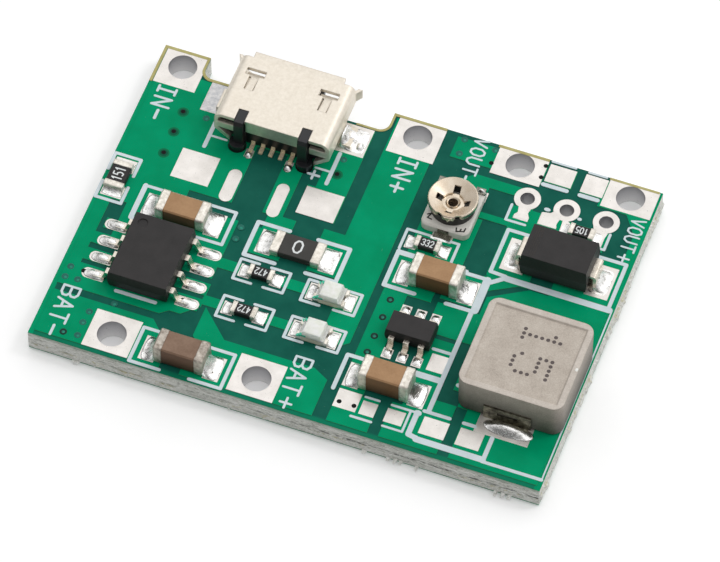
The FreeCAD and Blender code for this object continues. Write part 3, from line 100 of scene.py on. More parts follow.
class Finish:
    """A procedural material, with its texture coordinates in millimetres of the row frame."""

    def __init__(self, name, **sockets):
        self.material = bpy.data.materials.new(name)
        self.material.use_nodes = True
        self.tree = self.material.node_tree
        self.shader = self.tree.nodes["Principled BSDF"]
        coordinates = self.add("ShaderNodeTexCoord")
        scale = self.add("ShaderNodeMapping")
        scale.inputs["Scale"].default_value = (1000, 1000, 1000)
        self.tree.links.new(coordinates.outputs["Object"], scale.inputs["Vector"])
        self.place = scale.outputs["Vector"]
        split = self.add("ShaderNodeSeparateXYZ")
        self.tree.links.new(self.place, split.inputs[0])
        self.x, self.y, self.z = split.outputs
        for socket, value in sockets.items():
            self.set(socket.replace("_", " ").title().replace("Ior", "IOR"), value)

    def add(self, kind):
        return self.tree.nodes.new(kind)

    def set(self, socket, value):
        """Gives a socket of the shader a number, a colour code or another node's output."""
        self.feed(self.shader.inputs[socket], value)

    def feed(self, socket, value):
        if isinstance(value, bpy.types.NodeSocket):
            self.tree.links.new(value, socket)
        elif isinstance(value, str):
            socket.default_value = linear(value)
        else:
            socket.default_value = value

    def texture(self, kind, scale, stretch):
        """A texture node, with its place stretched."""
        stretched = self.add("ShaderNodeMapping")
        stretched.inputs["Scale"].default_value = stretch
        self.tree.links.new(self.place, stretched.inputs["Vector"])
        made = self.add(kind)
        made.inputs["Scale"].default_value = scale
        self.tree.links.new(stretched.outputs["Vector"], made.inputs["Vector"])
        return made

    def noise(self, scale, detail=3.0, roughness=0.55, stretch=(1, 1, 1)):
        made = self.texture("ShaderNodeTexNoise", scale, stretch)
        made.inputs["Detail"].default_value = detail
        made.inputs["Roughness"].default_value = roughness
        return made.outputs["Fac"]

    def cells(self, scale, stretch=(1, 1, 1)):
        """The distance to the nearest of scattered points, which makes specks."""
        return self.texture("ShaderNodeTexVoronoi", scale, stretch).outputs["Distance"]

    def ramp(self, factor, *stops):
        """Turns a number into colours or numbers: each stop is a position and a code or number."""
        made = self.add("ShaderNodeValToRGB")
        line = made.color_ramp
        while len(line.elements) < len(stops):
            line.elements.new(0.5)
        for element, (position, value) in zip(line.elements, stops):
            element.position = position
            element.color = linear(value) if isinstance(value, str) else (value, value, value, 1)
        self.feed(made.inputs["Fac"], factor)
        return made.outputs["Color"]

    def mix(self, factor, first, second):
        made = self.add("ShaderNodeMix")
        made.data_type = "RGBA"
        self.feed(made.inputs[0], factor)
        self.feed(made.inputs[6], first)
        self.feed(made.inputs[7], second)
        return made.outputs[2]

    def math(self, operation, first, second):
        made = self.add("ShaderNodeMath")
        made.operation = operation
        self.feed(made.inputs[0], first)
        self.feed(made.inputs[1], second)
        return made.outputs[0]

    def blend(self, first, second, share):
        """A share of the first number and the rest of the second."""
        return self.math("ADD", self.math("MULTIPLY", first, share), self.math("MULTIPLY", second, 1 - share))

    def between(self, value, low, high):
        """0 on low's side, 1 on high's, and even steps from one to the other."""
        made = self.add("ShaderNodeMapRange")
        self.feed(made.inputs["Value"], value)
        made.inputs["From Min"].default_value = low
        made.inputs["From Max"].default_value = high
        return made.outputs["Result"]

    def facing_up(self):
        """1 on faces that look up, 0 on walls, -1 below."""
        geometry = self.add("ShaderNodeNewGeometry")
        split = self.add("ShaderNodeSeparateXYZ")
        self.tree.links.new(geometry.outputs["Normal"], split.inputs[0])
        return split.outputs[2]

    def relief(self, height, depth, edge=0.0):
        """Bumps of a real depth in mm, over edges rounded by a radius in mm."""
        bump = self.add("ShaderNodeBump")
        bump.inputs["Distance"].default_value = depth * MM
        self.feed(bump.inputs["Height"], height)
        if edge:
            soft = self.add("ShaderNodeBevel")
            soft.samples = 4
            soft.inputs["Radius"].default_value = edge * MM
            self.tree.links.new(soft.outputs["Normal"], bump.inputs["Normal"])
        self.tree.links.new(bump.outputs["Normal"], self.shader.inputs["Normal"])


def mask_finish():
    """Green varnish: bright over copper, which stands higher, dark over bare laminate."""
    made = Finish("solder_mask_green", roughness=0.22, ior=1.5, specular_ior_level=0.035)
    bright = made.ramp(made.noise(0.5, 4), (0.3, "008c5f"), (0.7, "009a6c"))
    dark = made.ramp(made.noise(0.9, 4), (0.3, "12574a"), (0.7, "1a6253"))
    # Varnish ends at 1.565 mm over laminate and at 1.6 mm over copper, and is bright near three edges too
    raised = made.between(made.z, 1.588, 1.596)
    left_strip = made.between(made.x, -15.97, -16.0)
    right_strip = made.between(made.x, 15.9, 15.93)
    over_copper = made.math("MAXIMUM", raised, made.math("MAXIMUM", left_strip, right_strip))
    front_strip = made.math("MULTIPLY", made.between(made.y, -11.05, -11.2), 0.4)
    body = made.mix(made.math("MAXIMUM", over_copper, front_strip), dark, bright)
    # A pale line shows where the varnish steps down beside the copper
    walls = made.between(made.facing_up(), 0.6, 0.3)
    steps = made.math("MULTIPLY", walls, made.between(made.z, 1.55, 1.57))
    lined = made.mix(made.math("MULTIPLY", steps, 0.7), body, "6fa35c")
    below = made.mix(made.between(made.z, 0.2, 0.3), bright, lined)
    specks = made.math("MULTIPLY", made.between(made.cells(1.9), 0.04, 0.02), made.noise(0.7, 2))
    scratches = made.between(made.cells(1.1, stretch=(1, 0.16, 1)), 0.022, 0.012)
    dusty = made.mix(made.math("MULTIPLY", specks, 0.7), below, "8fc3a4")
    made.set("Base Color", made.mix(made.math("MULTIPLY", scratches, 0.16), dusty, "9cc9b0"))
    waves, grain = made.noise(1.6, 2), made.noise(14, 2)
    made.relief(made.math("ADD", waves, made.math("MULTIPLY", grain, 0.12)), 0.012, 0.02)
    return made.material


def laminate_finish():
    """Snapped glass fibre: layered and mottled on the edges, yellowish where the face is bare."""
    made = Finish("glass_laminate", roughness=0.75, ior=1.5)
    strands = made.noise(2.2, 6, 0.75, (0.5, 0.5, 3.2))
    streaks = made.noise(11, 4, 0.7, (0.45, 0.45, 2.2))
    tone = made.blend(strands, streaks, 0.5)
    fibres = made.ramp(tone, (0.4, "979a91"), (0.48, "dcded6"), (0.56, "f2f3ee"), (0.62, "ffffff"))
    pale_and_lit = made.ramp(tone, (0.38, "b7b8ae"), (0.48, "e2e3dc"), (0.56, "f0f0eb"), (0.64, "ffffff"))
    greenish = made.mix(made.math("MULTIPLY", made.between(made.z, 1.25, 1.5), 0.6), fibres, "7f9a82")
    # A painted shadow darkens a groove above the torn web of the front edge, and the web itself is pale, partly
    # from its white fibres and partly from a painted highlight
    groove = made.math("MULTIPLY", made.between(made.z, 0.6, 0.68), made.between(made.z, 0.86, 0.76))
    groove = made.math("MULTIPLY", groove, made.between(made.y, -11.3, -11.42))
    torn = made.math("MULTIPLY", made.between(made.noise(3.5, 3, 0.6, (0.5, 0.5, 1.5)), 0.46, 0.56),
                     made.between(made.x, -6, 4))
    grooved = made.mix(made.math("MULTIPLY", groove, torn), greenish, "5f625b")
    front = made.mix(made.between(made.y, -11.46, -11.54), grooved, pale_and_lit)
    # The right edge is pale too, from its torn fibres and from painted light on that side
    edge = made.mix(made.between(made.x, 16.2, 16.28), front, pale_and_lit)
    bare = made.ramp(made.noise(2.5, 3), (0.3, "a89f5a"), (0.7, "c4bb7c"))
    made.set("Base Color", made.mix(made.between(made.facing_up(), 0.5, 0.9), edge, bare))
    made.relief(made.math("ADD", strands, streaks), 0.08, 0.0)
    return made.material


def metal_finish(name, light, dark, roughness, wave=0.6, depth=0.01, edge=0.02, fine=12.0, metallic=1.0):
    """Metal with a slow mottle, a soft ripple and a fine grain."""
    made = Finish(name, metallic=metallic)
    mottle = made.noise(wave, 4, 0.6)
    grain = made.noise(fine, 3, 0.6)
    made.set("Base Color", made.ramp(mottle, (0.3, dark), (0.7, light)))
    made.set("Roughness", made.ramp(grain, (0.3, roughness * 0.75), (0.7, min(1.0, roughness * 1.3))))
    made.relief(made.math("ADD", mottle, made.math("MULTIPLY", grain, 0.2)), depth, edge)
    return made.material


def tin_finish():
    """Levelled tin: nearly white on its faces, and grey inside the plated holes from painted shade, darkest
    near their top.
    """
    made = Finish("tinned_copper", metallic=0.7)
    mottle, grain = made.noise(1.1, 4, 0.6), made.noise(12, 3, 0.6)
    face = made.ramp(mottle, (0.3, "e0dbd5"), (0.7, "f3eee9"))
    # Painted shade on the walls of the plated holes
    shaded_wall = made.ramp(made.between(made.z, 0.1, 1.6), (0.0, "e4e3e3"), (0.6, "c0bfc1"), (1.0, "98979b"))
    made.set("Base Color", made.mix(made.between(made.facing_up(), 0.3, 0.7), shaded_wall, face))
    made.set("Roughness", made.ramp(grain, (0.3, 0.27), (0.7, 0.47)))
    made.relief(made.math("ADD", mottle, made.math("MULTIPLY", grain, 0.2)), 0.012, 0.03)
    return made.material


def solder_finish():
    """Bright flowed solder, mottled with grey, and a few dark rests of flux."""
    made = Finish("solder", metallic=1.0)
    mottle, grain = made.noise(2.6, 4, 0.7), made.noise(12, 3, 0.6)
    tone = made.ramp(mottle, (0.3, "a09d99"), (0.4, "e4e3e0"), (0.55, "fdfcfa"))
    flux = made.between(made.noise(1.7, 3, 0.6), 0.66, 0.7)
    made.set("Base Color", made.mix(made.math("MULTIPLY", flux, 0.8), tone, "4d3c2a"))
    made.set("Roughness", made.ramp(grain, (0.3, 0.14), (0.7, 0.28)))
    made.relief(made.math("ADD", mottle, made.math("MULTIPLY", grain, 0.06)), 0.05, 0.0)
    return made.material


def matt_finish(name, light, dark, roughness, grain=10.0, depth=0.006, edge=0.04, specular=0.5):
    """Moulded or fired material: a fine grain over a slow change of tone."""
    made = Finish(name, specular_ior_level=specular)
    fine, wide = made.noise(grain, 4, 0.65), made.noise(1.2, 3)
    made.set("Base Color", made.ramp(made.blend(fine, wide, 0.45), (0.32, dark), (0.68, light)))
    made.set("Roughness", made.ramp(fine, (0.3, roughness * 0.85), (0.7, min(1.0, roughness * 1.15))))
    made.relief(fine, depth, edge)
    return made.material


def ceramic_finish(name, light, dark, shaded_wall, foot_shade):
    """Fired brown ceramic, with painted shade that darkens its walls, most at their foot."""
    made = Finish(name, roughness=0.5, specular_ior_level=0.3)
    grain, wide = made.noise(8, 4, 0.65), made.noise(1.2, 3)
    top = made.ramp(made.blend(grain, wide, 0.45), (0.32, dark), (0.68, light))
    # Painted shade: the walls darker than the top, darkest at their foot
    sides = made.mix(made.between(made.z, 1.7, 2.6), foot_shade, shaded_wall)
    made.set("Base Color", made.mix(made.between(made.facing_up(), 0.2, 0.8), sides, top))
    made.relief(grain, 0.006, 0.07)
    return made.material


def ferrite_finish():
    """Pressed iron powder: a speckled top with a paler rim, and painted shade that darkens the walls, most
    towards their foot.
    """
    made = Finish("pressed_iron", roughness=0.6, specular_ior_level=0.4)
    grain, wide = made.noise(14, 5, 0.85), made.noise(1.2, 3)
    tone = made.blend(grain, wide, 0.75)
    middle = made.ramp(tone, (0.36, "a0958a"), (0.46, "b8ada1"), (0.56, "c4baae"), (0.66, "d6cdc3"))
    rim = made.ramp(tone, (0.4, "bdb3a8"), (0.6, "d5ccc2"))
    top = made.mix(made.between(made.z, 4.36, 4.39), middle, rim)
    # Painted shade on the walls, darkest at their foot
    foot_shade = made.ramp(tone, (0.3, "3b3a35"), (0.7, "6f6a62"))
    side = made.ramp(tone, (0.36, "8d857b"), (0.66, "b3aa9f"))
    walls = made.mix(made.between(made.z, 2.1, 4.3), foot_shade, side)
    made.set("Base Color", made.mix(made.between(made.facing_up(), 0.3, 0.8), walls, top))
    made.relief(grain, 0.008, 0.1)
    return made.material


def resin_finish():
    """Clear lamp resin over a white chip, which light fills from all sides."""
    made = Finish("lamp_lens", roughness=0.15, subsurface_weight=0.7, subsurface_scale=0.001)
    made.shader.inputs["Subsurface Radius"].default_value = (1.0, 1.0, 0.9)
    cloud = made.noise(3, 3)
    made.set("Base Color", made.ramp(cloud, (0.35, "f1f3e2"), (0.65, "fffff4")))
    made.relief(cloud, 0.01, 0.08)
    return made.material


MASK = mask_finish()
LAMINATE = laminate_finish()
COPPER = metal_finish("copper", "d98d62", "b8714a", 0.35)
TINNED = tin_finish()
FROSTED = metal_finish("frosted_tin", "dcdad8", "aeb0b4", 0.42, wave=3.5, depth=0.02, edge=0.03)
SOLDER = solder_finish()
SHELL = metal_finish("socket_steel", "f0e8db", "e3dacb", 0.38, wave=5, depth=0.002, edge=0.1, fine=30,
                     metallic=0.8)
GOLD = metal_finish("gold_contacts", "fbeacb", "e2c99f", 0.3, metallic=0.35)
LEADS = metal_finish("tinned_leads", "f0e8dc", "cfc6b8", 0.26, wave=3, depth=0.008)
TERMINALS = metal_finish("dark_terminals", "9a9785", "3d3a31", 0.32, wave=2.6, depth=0.02)
TABS = metal_finish("dull_tabs", "a8a69b", "6b6960", 0.28, wave=3, depth=0.008)
ENDS = metal_finish("tinned_ends", "fffaf0", "cbc4b8", 0.38, wave=3.4, depth=0.05, edge=0.12)
WORN_ENDS = metal_finish("worn_ends", "d3cbc0", "8d8378", 0.42, wave=3.4, depth=0.05, edge=0.12)
TRIM_METAL = metal_finish("dial_metal", "ecdfcd", "d8c7b1", 0.3, wave=1.4, depth=0.003, edge=0.05)
BLACK = matt_finish("socket_plastic", "212226", "161719", 0.36)
CHIP = matt_finish("chip_moulding", "2e2b2b", "211f1f", 0.5, grain=22, depth=0.014, edge=0.05,
                   specular=0.35)
FERRITE = ferrite_finish()
# Each ceramic's last two colours are painted shade, for its walls and for their foot
CAPACITOR = ceramic_finish("capacitor_ceramic", "b28c66", "9f7a56", "7c5a3d", "4a3a27")
BROWN = ceramic_finish("dark_capacitor_ceramic", "8f7562", "785e4c", "5e422f", "3a2c20")
LINK = matt_finish("link_ceramic", "403f3c", "32312e", 0.4, grain=14, depth=0.004, edge=0.03,
                   specular=0.3)
RESISTOR = matt_finish("resistor_ceramic", "2b2828", "1e1c1c", 0.4, grain=14, depth=0.004, edge=0.03,
                       specular=0.3)
CARRIER = matt_finish("lamp_carrier", "e9e4d2", "d8d0b8", 0.5, edge=0.03)
LENS = resin_finish()
CERAMIC = matt_finish("white_ceramic", "e4e1da", "d6d2ca", 0.45, grain=9, edge=0.1)
TRACK = matt_finish("carbon_track", "1a1817", "121110", 0.45)
SILK = matt_finish("legend_ink", "dbe6ea", "c8d6dc", 0.55, grain=20, depth=0.006, edge=0.0)
# Painted shade for the vias' rims, cups, dimples and holes, and a paler painted highlight for the spot off each
# cup's middle
VIA_RIM_SHADE = matt_finish("via_rim_shade", "07382e", "052d25", 0.3, specular=0.2)
VIA_CUP_SHADE = matt_finish("via_cup_shade", "0e6f60", "0a5a4d", 0.3, specular=0.3)
VIA_HIGHLIGHT = matt_finish("via_highlight", "1d8f78", "128068", 0.3, specular=0.3)
DIMPLE_SHADE = matt_finish("dimple_shade", "00754d", "006e48", 0.25, specular=0.1)
DEEP_DIMPLE_SHADE = matt_finish("deep_dimple_shade", "045c43", "04523c", 0.25, specular=0.1)
HOLE_SHADE = matt_finish("via_hole_shade", "0d1311", "080b0a", 0.7, specular=0.2)
CATHODE = matt_finish("cathode_paint", "4fd6b2", "35b894", 0.5, edge=0.0)
NUMERALS = matt_finish("resistor_print", "e9ecec", "d5dada", 0.5, edge=0.0)
STAMP = matt_finish("dot_print", "6b6260", "5a5250", 0.7, edge=0.0, specular=0.2)
ETCH = matt_finish("rough_band", "4c4743", "3d3936", 0.8, grain=30, depth=0.03, edge=0.0, specular=0.2)
# Painted shade in the bore of the trimmer's hollow rivet
EYELET_SHADE = matt_finish("rivet_bore_shade", "34241d", "241913", 0.5, edge=0.0)
FIBRE = matt_finish("torn_fibre", "ffffff", "d9dad1", 0.8, grain=7, depth=0.02, edge=0.0, specular=0.2)
BARE = matt_finish("bare_laminate", "beb67a", "a39a58", 0.6, grain=5)
BLACK_MARK = matt_finish("base_print", "26241f", "1b1916", 0.6, edge=0.0)

DRESS = {
    "laminate": LAMINATE, "top_copper": COPPER, "bottom_copper": COPPER, "top_solder_mask": MASK,
    "bottom_solder_mask": MASK, "surface_pads": TINNED, "trimmer_header_rings": TINNED,
    "solder_joints": SOLDER, "usb_shell": SHELL, "usb_contacts": GOLD, "usb_housing": BLACK,
    "inductor_body": FERRITE, "inductor_terminals": TERMINALS, "trimmer_base": CERAMIC,
    "trimmer_track": TRACK, "trimmer_eyelet": TRIM_METAL, "trimmer_rotor": TRIM_METAL,
    "trimmer_terminals": TABS, "battery_capacitor_body": BROWN, "battery_capacitor_ends": WORN_ENDS,
    "link_resistor_body": LINK, "diode_body": CHIP,
}
DRESS_BY_ENDING = {
    "_pad": TINNED, "chip_body": CHIP, "_leads": LEADS, "capacitor_body": CAPACITOR,
    "resistor_body": RESISTOR, "led_base": CARRIER, "led_lens": LENS, "_ends": ENDS,
}


def finish_of(name):
    """The finish of a CAD node, by its whole name or by what its name ends in."""
    if name in DRESS:
        return DRESS[name]
    return next(finish for ending, finish in DRESS_BY_ENDING.items() if name.endswith(ending))


for name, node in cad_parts.items():
    node.data.materials.clear()
    node.data.materials.append(finish_of(name))


# Pieces that ride on the board
SUNK = -0.03      # where thin prints and plates begin, inside the board
ROOT = 0.02       # how far solder and plates reach into the board


def placed(name, data):
    """A new object in the scene."""
    item = bpy.data.objects.new(name, data)
    bpy.context.scene.collection.objects.link(item)
    return item


def piece(name, mesh_data, finish, body="board", smooth=True):
    """A mesh of (points in metres, faces) as a piece of its own."""
    points, faces = mesh_data
    mesh = bpy.data.meshes.new(name)
    mesh.from_pydata([tuple(p) for p in points], [], faces)
    mesh.validate()
    mesh.polygons.foreach_set("use_smooth", [smooth] * len(mesh.polygons))
    mesh.materials.append(finish)
    item = placed(name, mesh)
    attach(item, body)
    return item


def joined(parts):
    """Several (points, faces) as one."""
    points, faces = [], []
    for more_points, more_faces in parts:
        start = len(points)
        points += list(more_points)
        faces += [tuple(start + i for i in face) for face in more_faces]
    return points, faces


def plates(name, parts, finish):
    """Several flat-sided shapes as one piece."""
    piece(name, joined(parts), finish, smooth=False)


def prism(outline, low, high):
    """A flat shape of board points as a thin plate from height low to high."""
    count = len(outline)
    points = [at(x, y, high) for x, y in outline] + [at(x, y, low) for x, y in outline]
    sides = [(i + count, (i + 1) % count + count, (i + 1) % count, i) for i in range(count)]
    return points, [tuple(range(count)), tuple(reversed(range(count, 2 * count)))] + sides


def box(x0, y0, x1, y1):
    """The outline of a rectangle from its front left to its back right corner."""
    return [(x0, y0), (x1, y0), (x1, y1), (x0, y1)]


def oval(x, y, width, height, steps):
    """The outline of an ellipse."""
    return [(x + width / 2 * math.cos(a), y + height / 2 * math.sin(a))
            for a in (math.tau * i / steps for i in range(steps))]


def disc(x, y, radius, low, high, steps=16):
    """A thin round plate."""
    return prism(oval(x, y, 2 * radius, 2 * radius, steps), low, high)


def flat(outline, height, floor=-ROOT):
    """A thin plate with its top a little above the board."""
    return prism(outline, floor, height)


def stroke_outline(x0, y0, x1, y1, width, steps=5):
    """A straight line of ink with round ends."""
    along = math.atan2(y1 - y0, x1 - x0)
    outline = []
    for x, y, start in ((x1, y1, along - math.pi / 2), (x0, y0, along + math.pi / 2)):
        for step in range(steps + 1):
            turn = start + math.pi * step / steps
            outline.append((x + width / 2 * math.cos(turn), y + width / 2 * math.sin(turn)))
    return outline


# Legend. Each stroke of ink ends a hair higher than the one before, so crossing strokes don't flicker
INK_HIGH, INK_STEP, INK_LEVELS = 0.008, 0.0004, 20
ink = []


def line(width, *points):
    """Ink along a run of points, each given as x, y."""
    for (x0, y0), (x1, y1) in zip(points, points[1:]):
        high = INK_HIGH + INK_STEP * (len(ink) % INK_LEVELS)
        ink.append(prism(stroke_outline(x0, y0, x1, y1, width), SUNK, high))


def dot(x, y, width, height):
    """A spot of ink."""
    ink.append(prism(oval(x, y, width, height, 12), SUNK, INK_HIGH))


GLYPHS = {
    "I": [[(0.5, 0), (0.5, 1)], [(0.15, 0), (0.85, 0)], [(0.15, 1), (0.85, 1)]],
    "N": [[(0, 0), (0, 1), (1, 0), (1, 1)]],
    "B": [[(0, 0), (0, 1), (0.7, 1), (1, 0.86), (1, 0.64), (0.75, 0.5), (0, 0.5)],
          [(0.75, 0.5), (1, 0.36), (1, 0.14), (0.7, 0), (0, 0)]],
    "A": [[(0, 0), (0.5, 1), (1, 0)], [(0.2, 0.36), (0.8, 0.36)]],
    "T": [[(0, 1), (1, 1)], [(0.5, 1), (0.5, 0)]],
    "V": [[(0, 1), (0.5, 0), (1, 1)]],
    "O": [[(0.3, 0), (0.7, 0), (1, 0.25), (1, 0.75), (0.7, 1), (0.3, 1), (0, 0.75), (0, 0.25), (0.3, 0)]],
    "U": [[(0, 1), (0, 0.25), (0.3, 0), (0.7, 0), (1, 0.25), (1, 1)]],
    "1": [[(0.2, 0.78), (0.55, 1), (0.55, 0)]],
    "2": [[(0, 0.78), (0.3, 1), (0.72, 1), (1, 0.78), (1, 0.6), (0, 0), (1, 0)]],
    "3": [[(0, 0.85), (0.3, 1), (0.75, 1), (1, 0.8), (0.95, 0.6), (0.5, 0.5), (0.95, 0.4), (1, 0.2),
           (0.75, 0), (0.3, 0), (0, 0.15)]],
    "4": [[(0.75, 0), (0.75, 1), (0, 0.3), (1, 0.3)]],
    "5": [[(0.95, 1), (0.1, 1), (0.05, 0.55), (0.6, 0.6), (1, 0.4), (1, 0.2), (0.7, 0), (0, 0.05)]],
    "7": [[(0, 1), (1, 1), (0.4, 0)]],
}
GLYPHS["0"] = GLYPHS["O"]


def write(text, x, y, width, height, pitch, turned):
    """A word's strokes from its first letter's lower corner, along the turned direction."""
    runs = []
    ax, ay = math.cos(turned), math.sin(turned)
    for index, letter in enumerate(text):
        for run in GLYPHS[letter]:
            runs.append([(x + (index * pitch + u * width) * ax - v * height * ay,
                          y + (index * pitch + u * width) * ay + v * height * ax) for u, v in run])
    return runs


def legend(text, x, y, width, height, pitch, stroke):
    """A word that runs down the board, with its letters' tops to the right."""
    for run in write(text, x, y, width, height, pitch, -math.pi / 2):
        line(stroke, *run)


def draw_left_boxes():
    """Boxes round the parts in the board's left half."""
    line(0.21, (0.1, 12.9), (0.1, 14.15), (1.78, 14.15), (1.78, 12.85))
    line(0.21, (0.1, 11.95), (0.1, 10.7), (1.78, 10.7), (1.78, 11.95))
    line(0.21, (2.73, 12.5), (8.66, 12.5), (8.66, 9.98), (2.73, 9.98))
    line(0.32, (2.73, 12.5), (2.73, 9.98))
    line(0.25, (3.87, 4.63), (6.42, 4.63))
    line(0.27, (12.2, 12.35), (10.16, 12.35), (10.16, 9.8), (12.15, 9.8))
    line(0.27, (14.05, 12.35), (16.1, 12.35), (16.1, 9.8), (14.15, 9.8))
    for low, high in ((7.93, 9.45), (5.02, 6.6)):
        line(0.18, (11.33, high), (10.15, high), (10.15, low), (11.33, low))
        line(0.18, (12.1, high), (13.36, high), (13.36, low), (12.1, low))
    for low, high in ((7.86, 9.45), (5.0, 6.6)):
        line(0.19, (15.72, high), (14.55, high), (14.55, low), (15.75, low))
        line(0.19, (16.7, high), (17.97, high), (17.97, low), (16.68, low))
    line(0.22, (8.4, 0.2), (6.45, 0.2), (6.45, 2.75), (12.32, 2.75), (12.32, 0.2), (10.3, 0.2))
    line(0.26, (5.02, 16.48), (5.02, 19.0))
    line(0.15, (5.02, 17.38), (6.15, 17.38))
    line(0.26, (13.04, 16.44), (13.04, 18.85))
    line(0.15, (13.04, 17.35), (12.0, 17.35))


def draw_right_boxes():
    """Boxes round the parts in the board's right half."""
    line(0.18, (18.85, 13.5), (18.85, 15.0), (22.17, 15.0), (22.17, 13.5))
    line(0.28, (20.85, 10.65), (18.9, 10.65), (18.9, 13.3))
    line(0.36, (18.95, 13.22), (20.2, 13.22))
    line(0.2, (20.2, 13.3), (23.3, 13.3))
    line(0.27, (22.88, 10.65), (24.6, 10.65))
    line(0.26, (23.2, 13.15), (24.75, 13.15))
    line(0.5, (24.68, 13.1), (24.68, 10.75))
    line(0.3, (24.55, 10.7), (24.55, 3.05))
    line(0.22, (23.3, 7.3), (24.5, 7.3))
    line(0.42, (22.9, 5.27), (24.4, 5.27))
    line(0.26, (18.62, 2.6), (18.62, 5.14), (19.6, 5.14))
    line(0.24, (24.62, 13.85), (24.62, 17.08), (32.2, 17.08), (32.2, 13.7))
    line(0.25, (24.62, 13.8), (25.6, 13.75))
    line(0.42, (25.65, 13.62), (32.3, 13.58))
    line(0.3, (25.55, 13.55), (24.85, 12.98))
    line(0.17, (24.2, 18.92), (24.2, 17.73), (25.45, 17.73))
    line(0.17, (30.56, 18.85), (30.56, 17.66), (30.15, 17.66))
    for low, high in ((25.48, 27.0), (27.85, 29.0)):
        line(0.28, (low, 21.0), (high, 21.0))
        line(0.14, (low, 22.8), (high, 22.8))
    dot(26.35, 19.3, 0.42, 0.26)
    dot(28.42, 19.3, 0.3, 0.22)
    dot(25.6, 5.35, 0.34, 0.3)
    line(0.34, (23.95, 2.6), (23.95, 1.05), (24.5, 0.95))
    dot(23.98, 2.65, 0.5, 0.42)
    line(0.42, (24.5, 0.88), (28.7, 0.88))
    line(0.22, (28.7, 0.75), (32.45, 0.75))
    line(0.28, (28.74, 0.95), (28.74, 2.5))
    line(0.09, (32.46, 0.8), (32.46, 13.5))
    line(0.24, (24.3, 2.93), (25.9, 2.93))
    line(0.24, (26.8, 2.93), (27.5, 2.93))
    line(0.16, (20.68, 2.66), (21.55, 2.66))
    line(0.16, (22.35, 2.66), (23.8, 2.66))
    line(0.17, (20.3, 1.08), (21.58, 1.08))
    line(0.15, (22.3, 1.08), (23.55, 1.08), (23.55, 2.6))


def draw_words():
    """Words and signs at the wire pads, and the socket's plus sign."""
    legend("IN", 0.78, 19.95, 0.62, 1.12, 0.93, 0.16)
    line(0.19, (1.36, 18.05), (1.36, 17.42))
    legend("IN", 16.62, 19.93, 0.62, 1.12, 0.93, 0.16)
    line(0.17, (17.15, 18.03), (17.15, 17.32))
    line(0.17, (16.78, 17.68), (17.56, 17.68))
    legend("BAT", 0.8, 3.98, 0.7, 1.06, 0.98, 0.15)
    line(0.17, (1.31, 1.02), (1.31, 0.33))
    legend("BAT", 15.79, 3.98, 0.7, 1.06, 0.98, 0.15)
    line(0.15, (16.34, 0.98), (16.34, 0.25))
    line(0.15, (15.98, 0.6), (16.7, 0.6))
    legend("VOUT", 20.5, 22.86, 0.5, 0.86, 0.74, 0.13)
    line(0.15, (20.87, 19.93), (20.87, 19.52))
    legend("VOUT", 31.46, 20.5, 0.46, 0.84, 0.66, 0.12)
    line(0.13, (31.86, 17.76), (31.86, 17.26))
    line(0.13, (31.5, 17.5), (32.2, 17.5))
    line(0.16, (12.04, 17.1), (12.04, 16.5))
    line(0.16, (11.7, 16.8), (12.42, 16.8))


def make_legend():
    draw_left_boxes()
    draw_right_boxes()
    draw_words()
    plates("board_legend", ink, SILK)


# Vias
def ring(x, y, inner, outer, low, high, steps=16):
    """A small raised ring with a round top."""
    points, faces = [], []
    profile = [(outer, low), (outer * 0.93 + inner * 0.07, high * 0.7), ((inner + outer) / 2, high),
               (inner * 0.93 + outer * 0.07, high * 0.7), (inner, low)]
    for step in range(steps):
        turn = math.tau * step / steps
        points += [at(x + r * math.cos(turn), y + r * math.sin(turn), z) for r, z in profile]
    size = len(profile)
    for step in range(steps):
        near, far = step * size, (step + 1) % steps * size
        for k in range(size):
            after = (k + 1) % size
            faces.append((near + k, far + k, far + after, near + after))
    return points, faces


DIMPLES = [(2.87, 18.45), (2.87, 16.85), (2.87, 15.15), (13.42, 17.3)]
TENTED = [(4.38, 18.5), (13.4, 18.5), (19.85, 22.5), (19.9, 21.4), (21.9, 22.4), (2.93, 2.66), (2.85, 1.81),
          (2.9, 0.83), (0.65, 5.35), (0.6, 4.55), (1.4, 4.6), (4.13, 3.72), (9.3, 11.6), (9.3, 10.7)]
RIMMED = [(19.65, 9.75), (19.65, 8.4), (19.65, 6.95), (19.65, 5.72), (2.0, 0.77)]
OPEN = [(19.3, 1.82), (20.24, 1.82), (21.98, 21.4), (25.2, 22.35), (25.2, 21.45), (1.5, 5.32)]


def make_vias():
    """Vias under the varnish as sunken cups drawn with painted shade and a painted highlight, and open ones as
    holes painted dark with shade.
    """
    # Raised rings painted dark with shade round the rimmed vias
    rims = [ring(x, y, 0.1, 0.24, -ROOT, 0.01) for x, y in RIMMED]
    piece("via_rim_shades", joined(rims), VIA_RIM_SHADE)
    # Painted shade in the cups of the vias under the varnish
    cups = [disc(x, y, 0.22, SUNK, 0.003) for x, y in TENTED]
    cups += [disc(x, y, 0.14, SUNK, 0.002) for x, y in RIMMED]
    plates("via_cup_shades", cups, VIA_CUP_SHADE)
    # A painted highlight on the lit side of each cup
    highlight_discs = [disc(x + 0.04, y - 0.05, 0.09, SUNK, 0.0045) for x, y in TENTED + RIMMED]
    plates("via_highlights", highlight_discs, VIA_HIGHLIGHT)
    # Two steps of painted shade round the dimples
    plates("dimple_shades", [disc(x, y, 0.36, SUNK, 0.0015, 24) for x, y in DIMPLES], DIMPLE_SHADE)
    deep = [disc(x, y, 0.25, SUNK, 0.003, 20) for x, y in DIMPLES]
    plates("deep_dimple_shades", deep, DEEP_DIMPLE_SHADE)
    # Painted shade inside the holes
    holes = [disc(x - 0.02, y + 0.04, 0.15, SUNK, 0.0045) for x, y in DIMPLES]
    holes += [disc(x, y, 0.15, SUNK, 0.006) for x, y in OPEN]
    plates("via_hole_shades", holes, HOLE_SHADE)


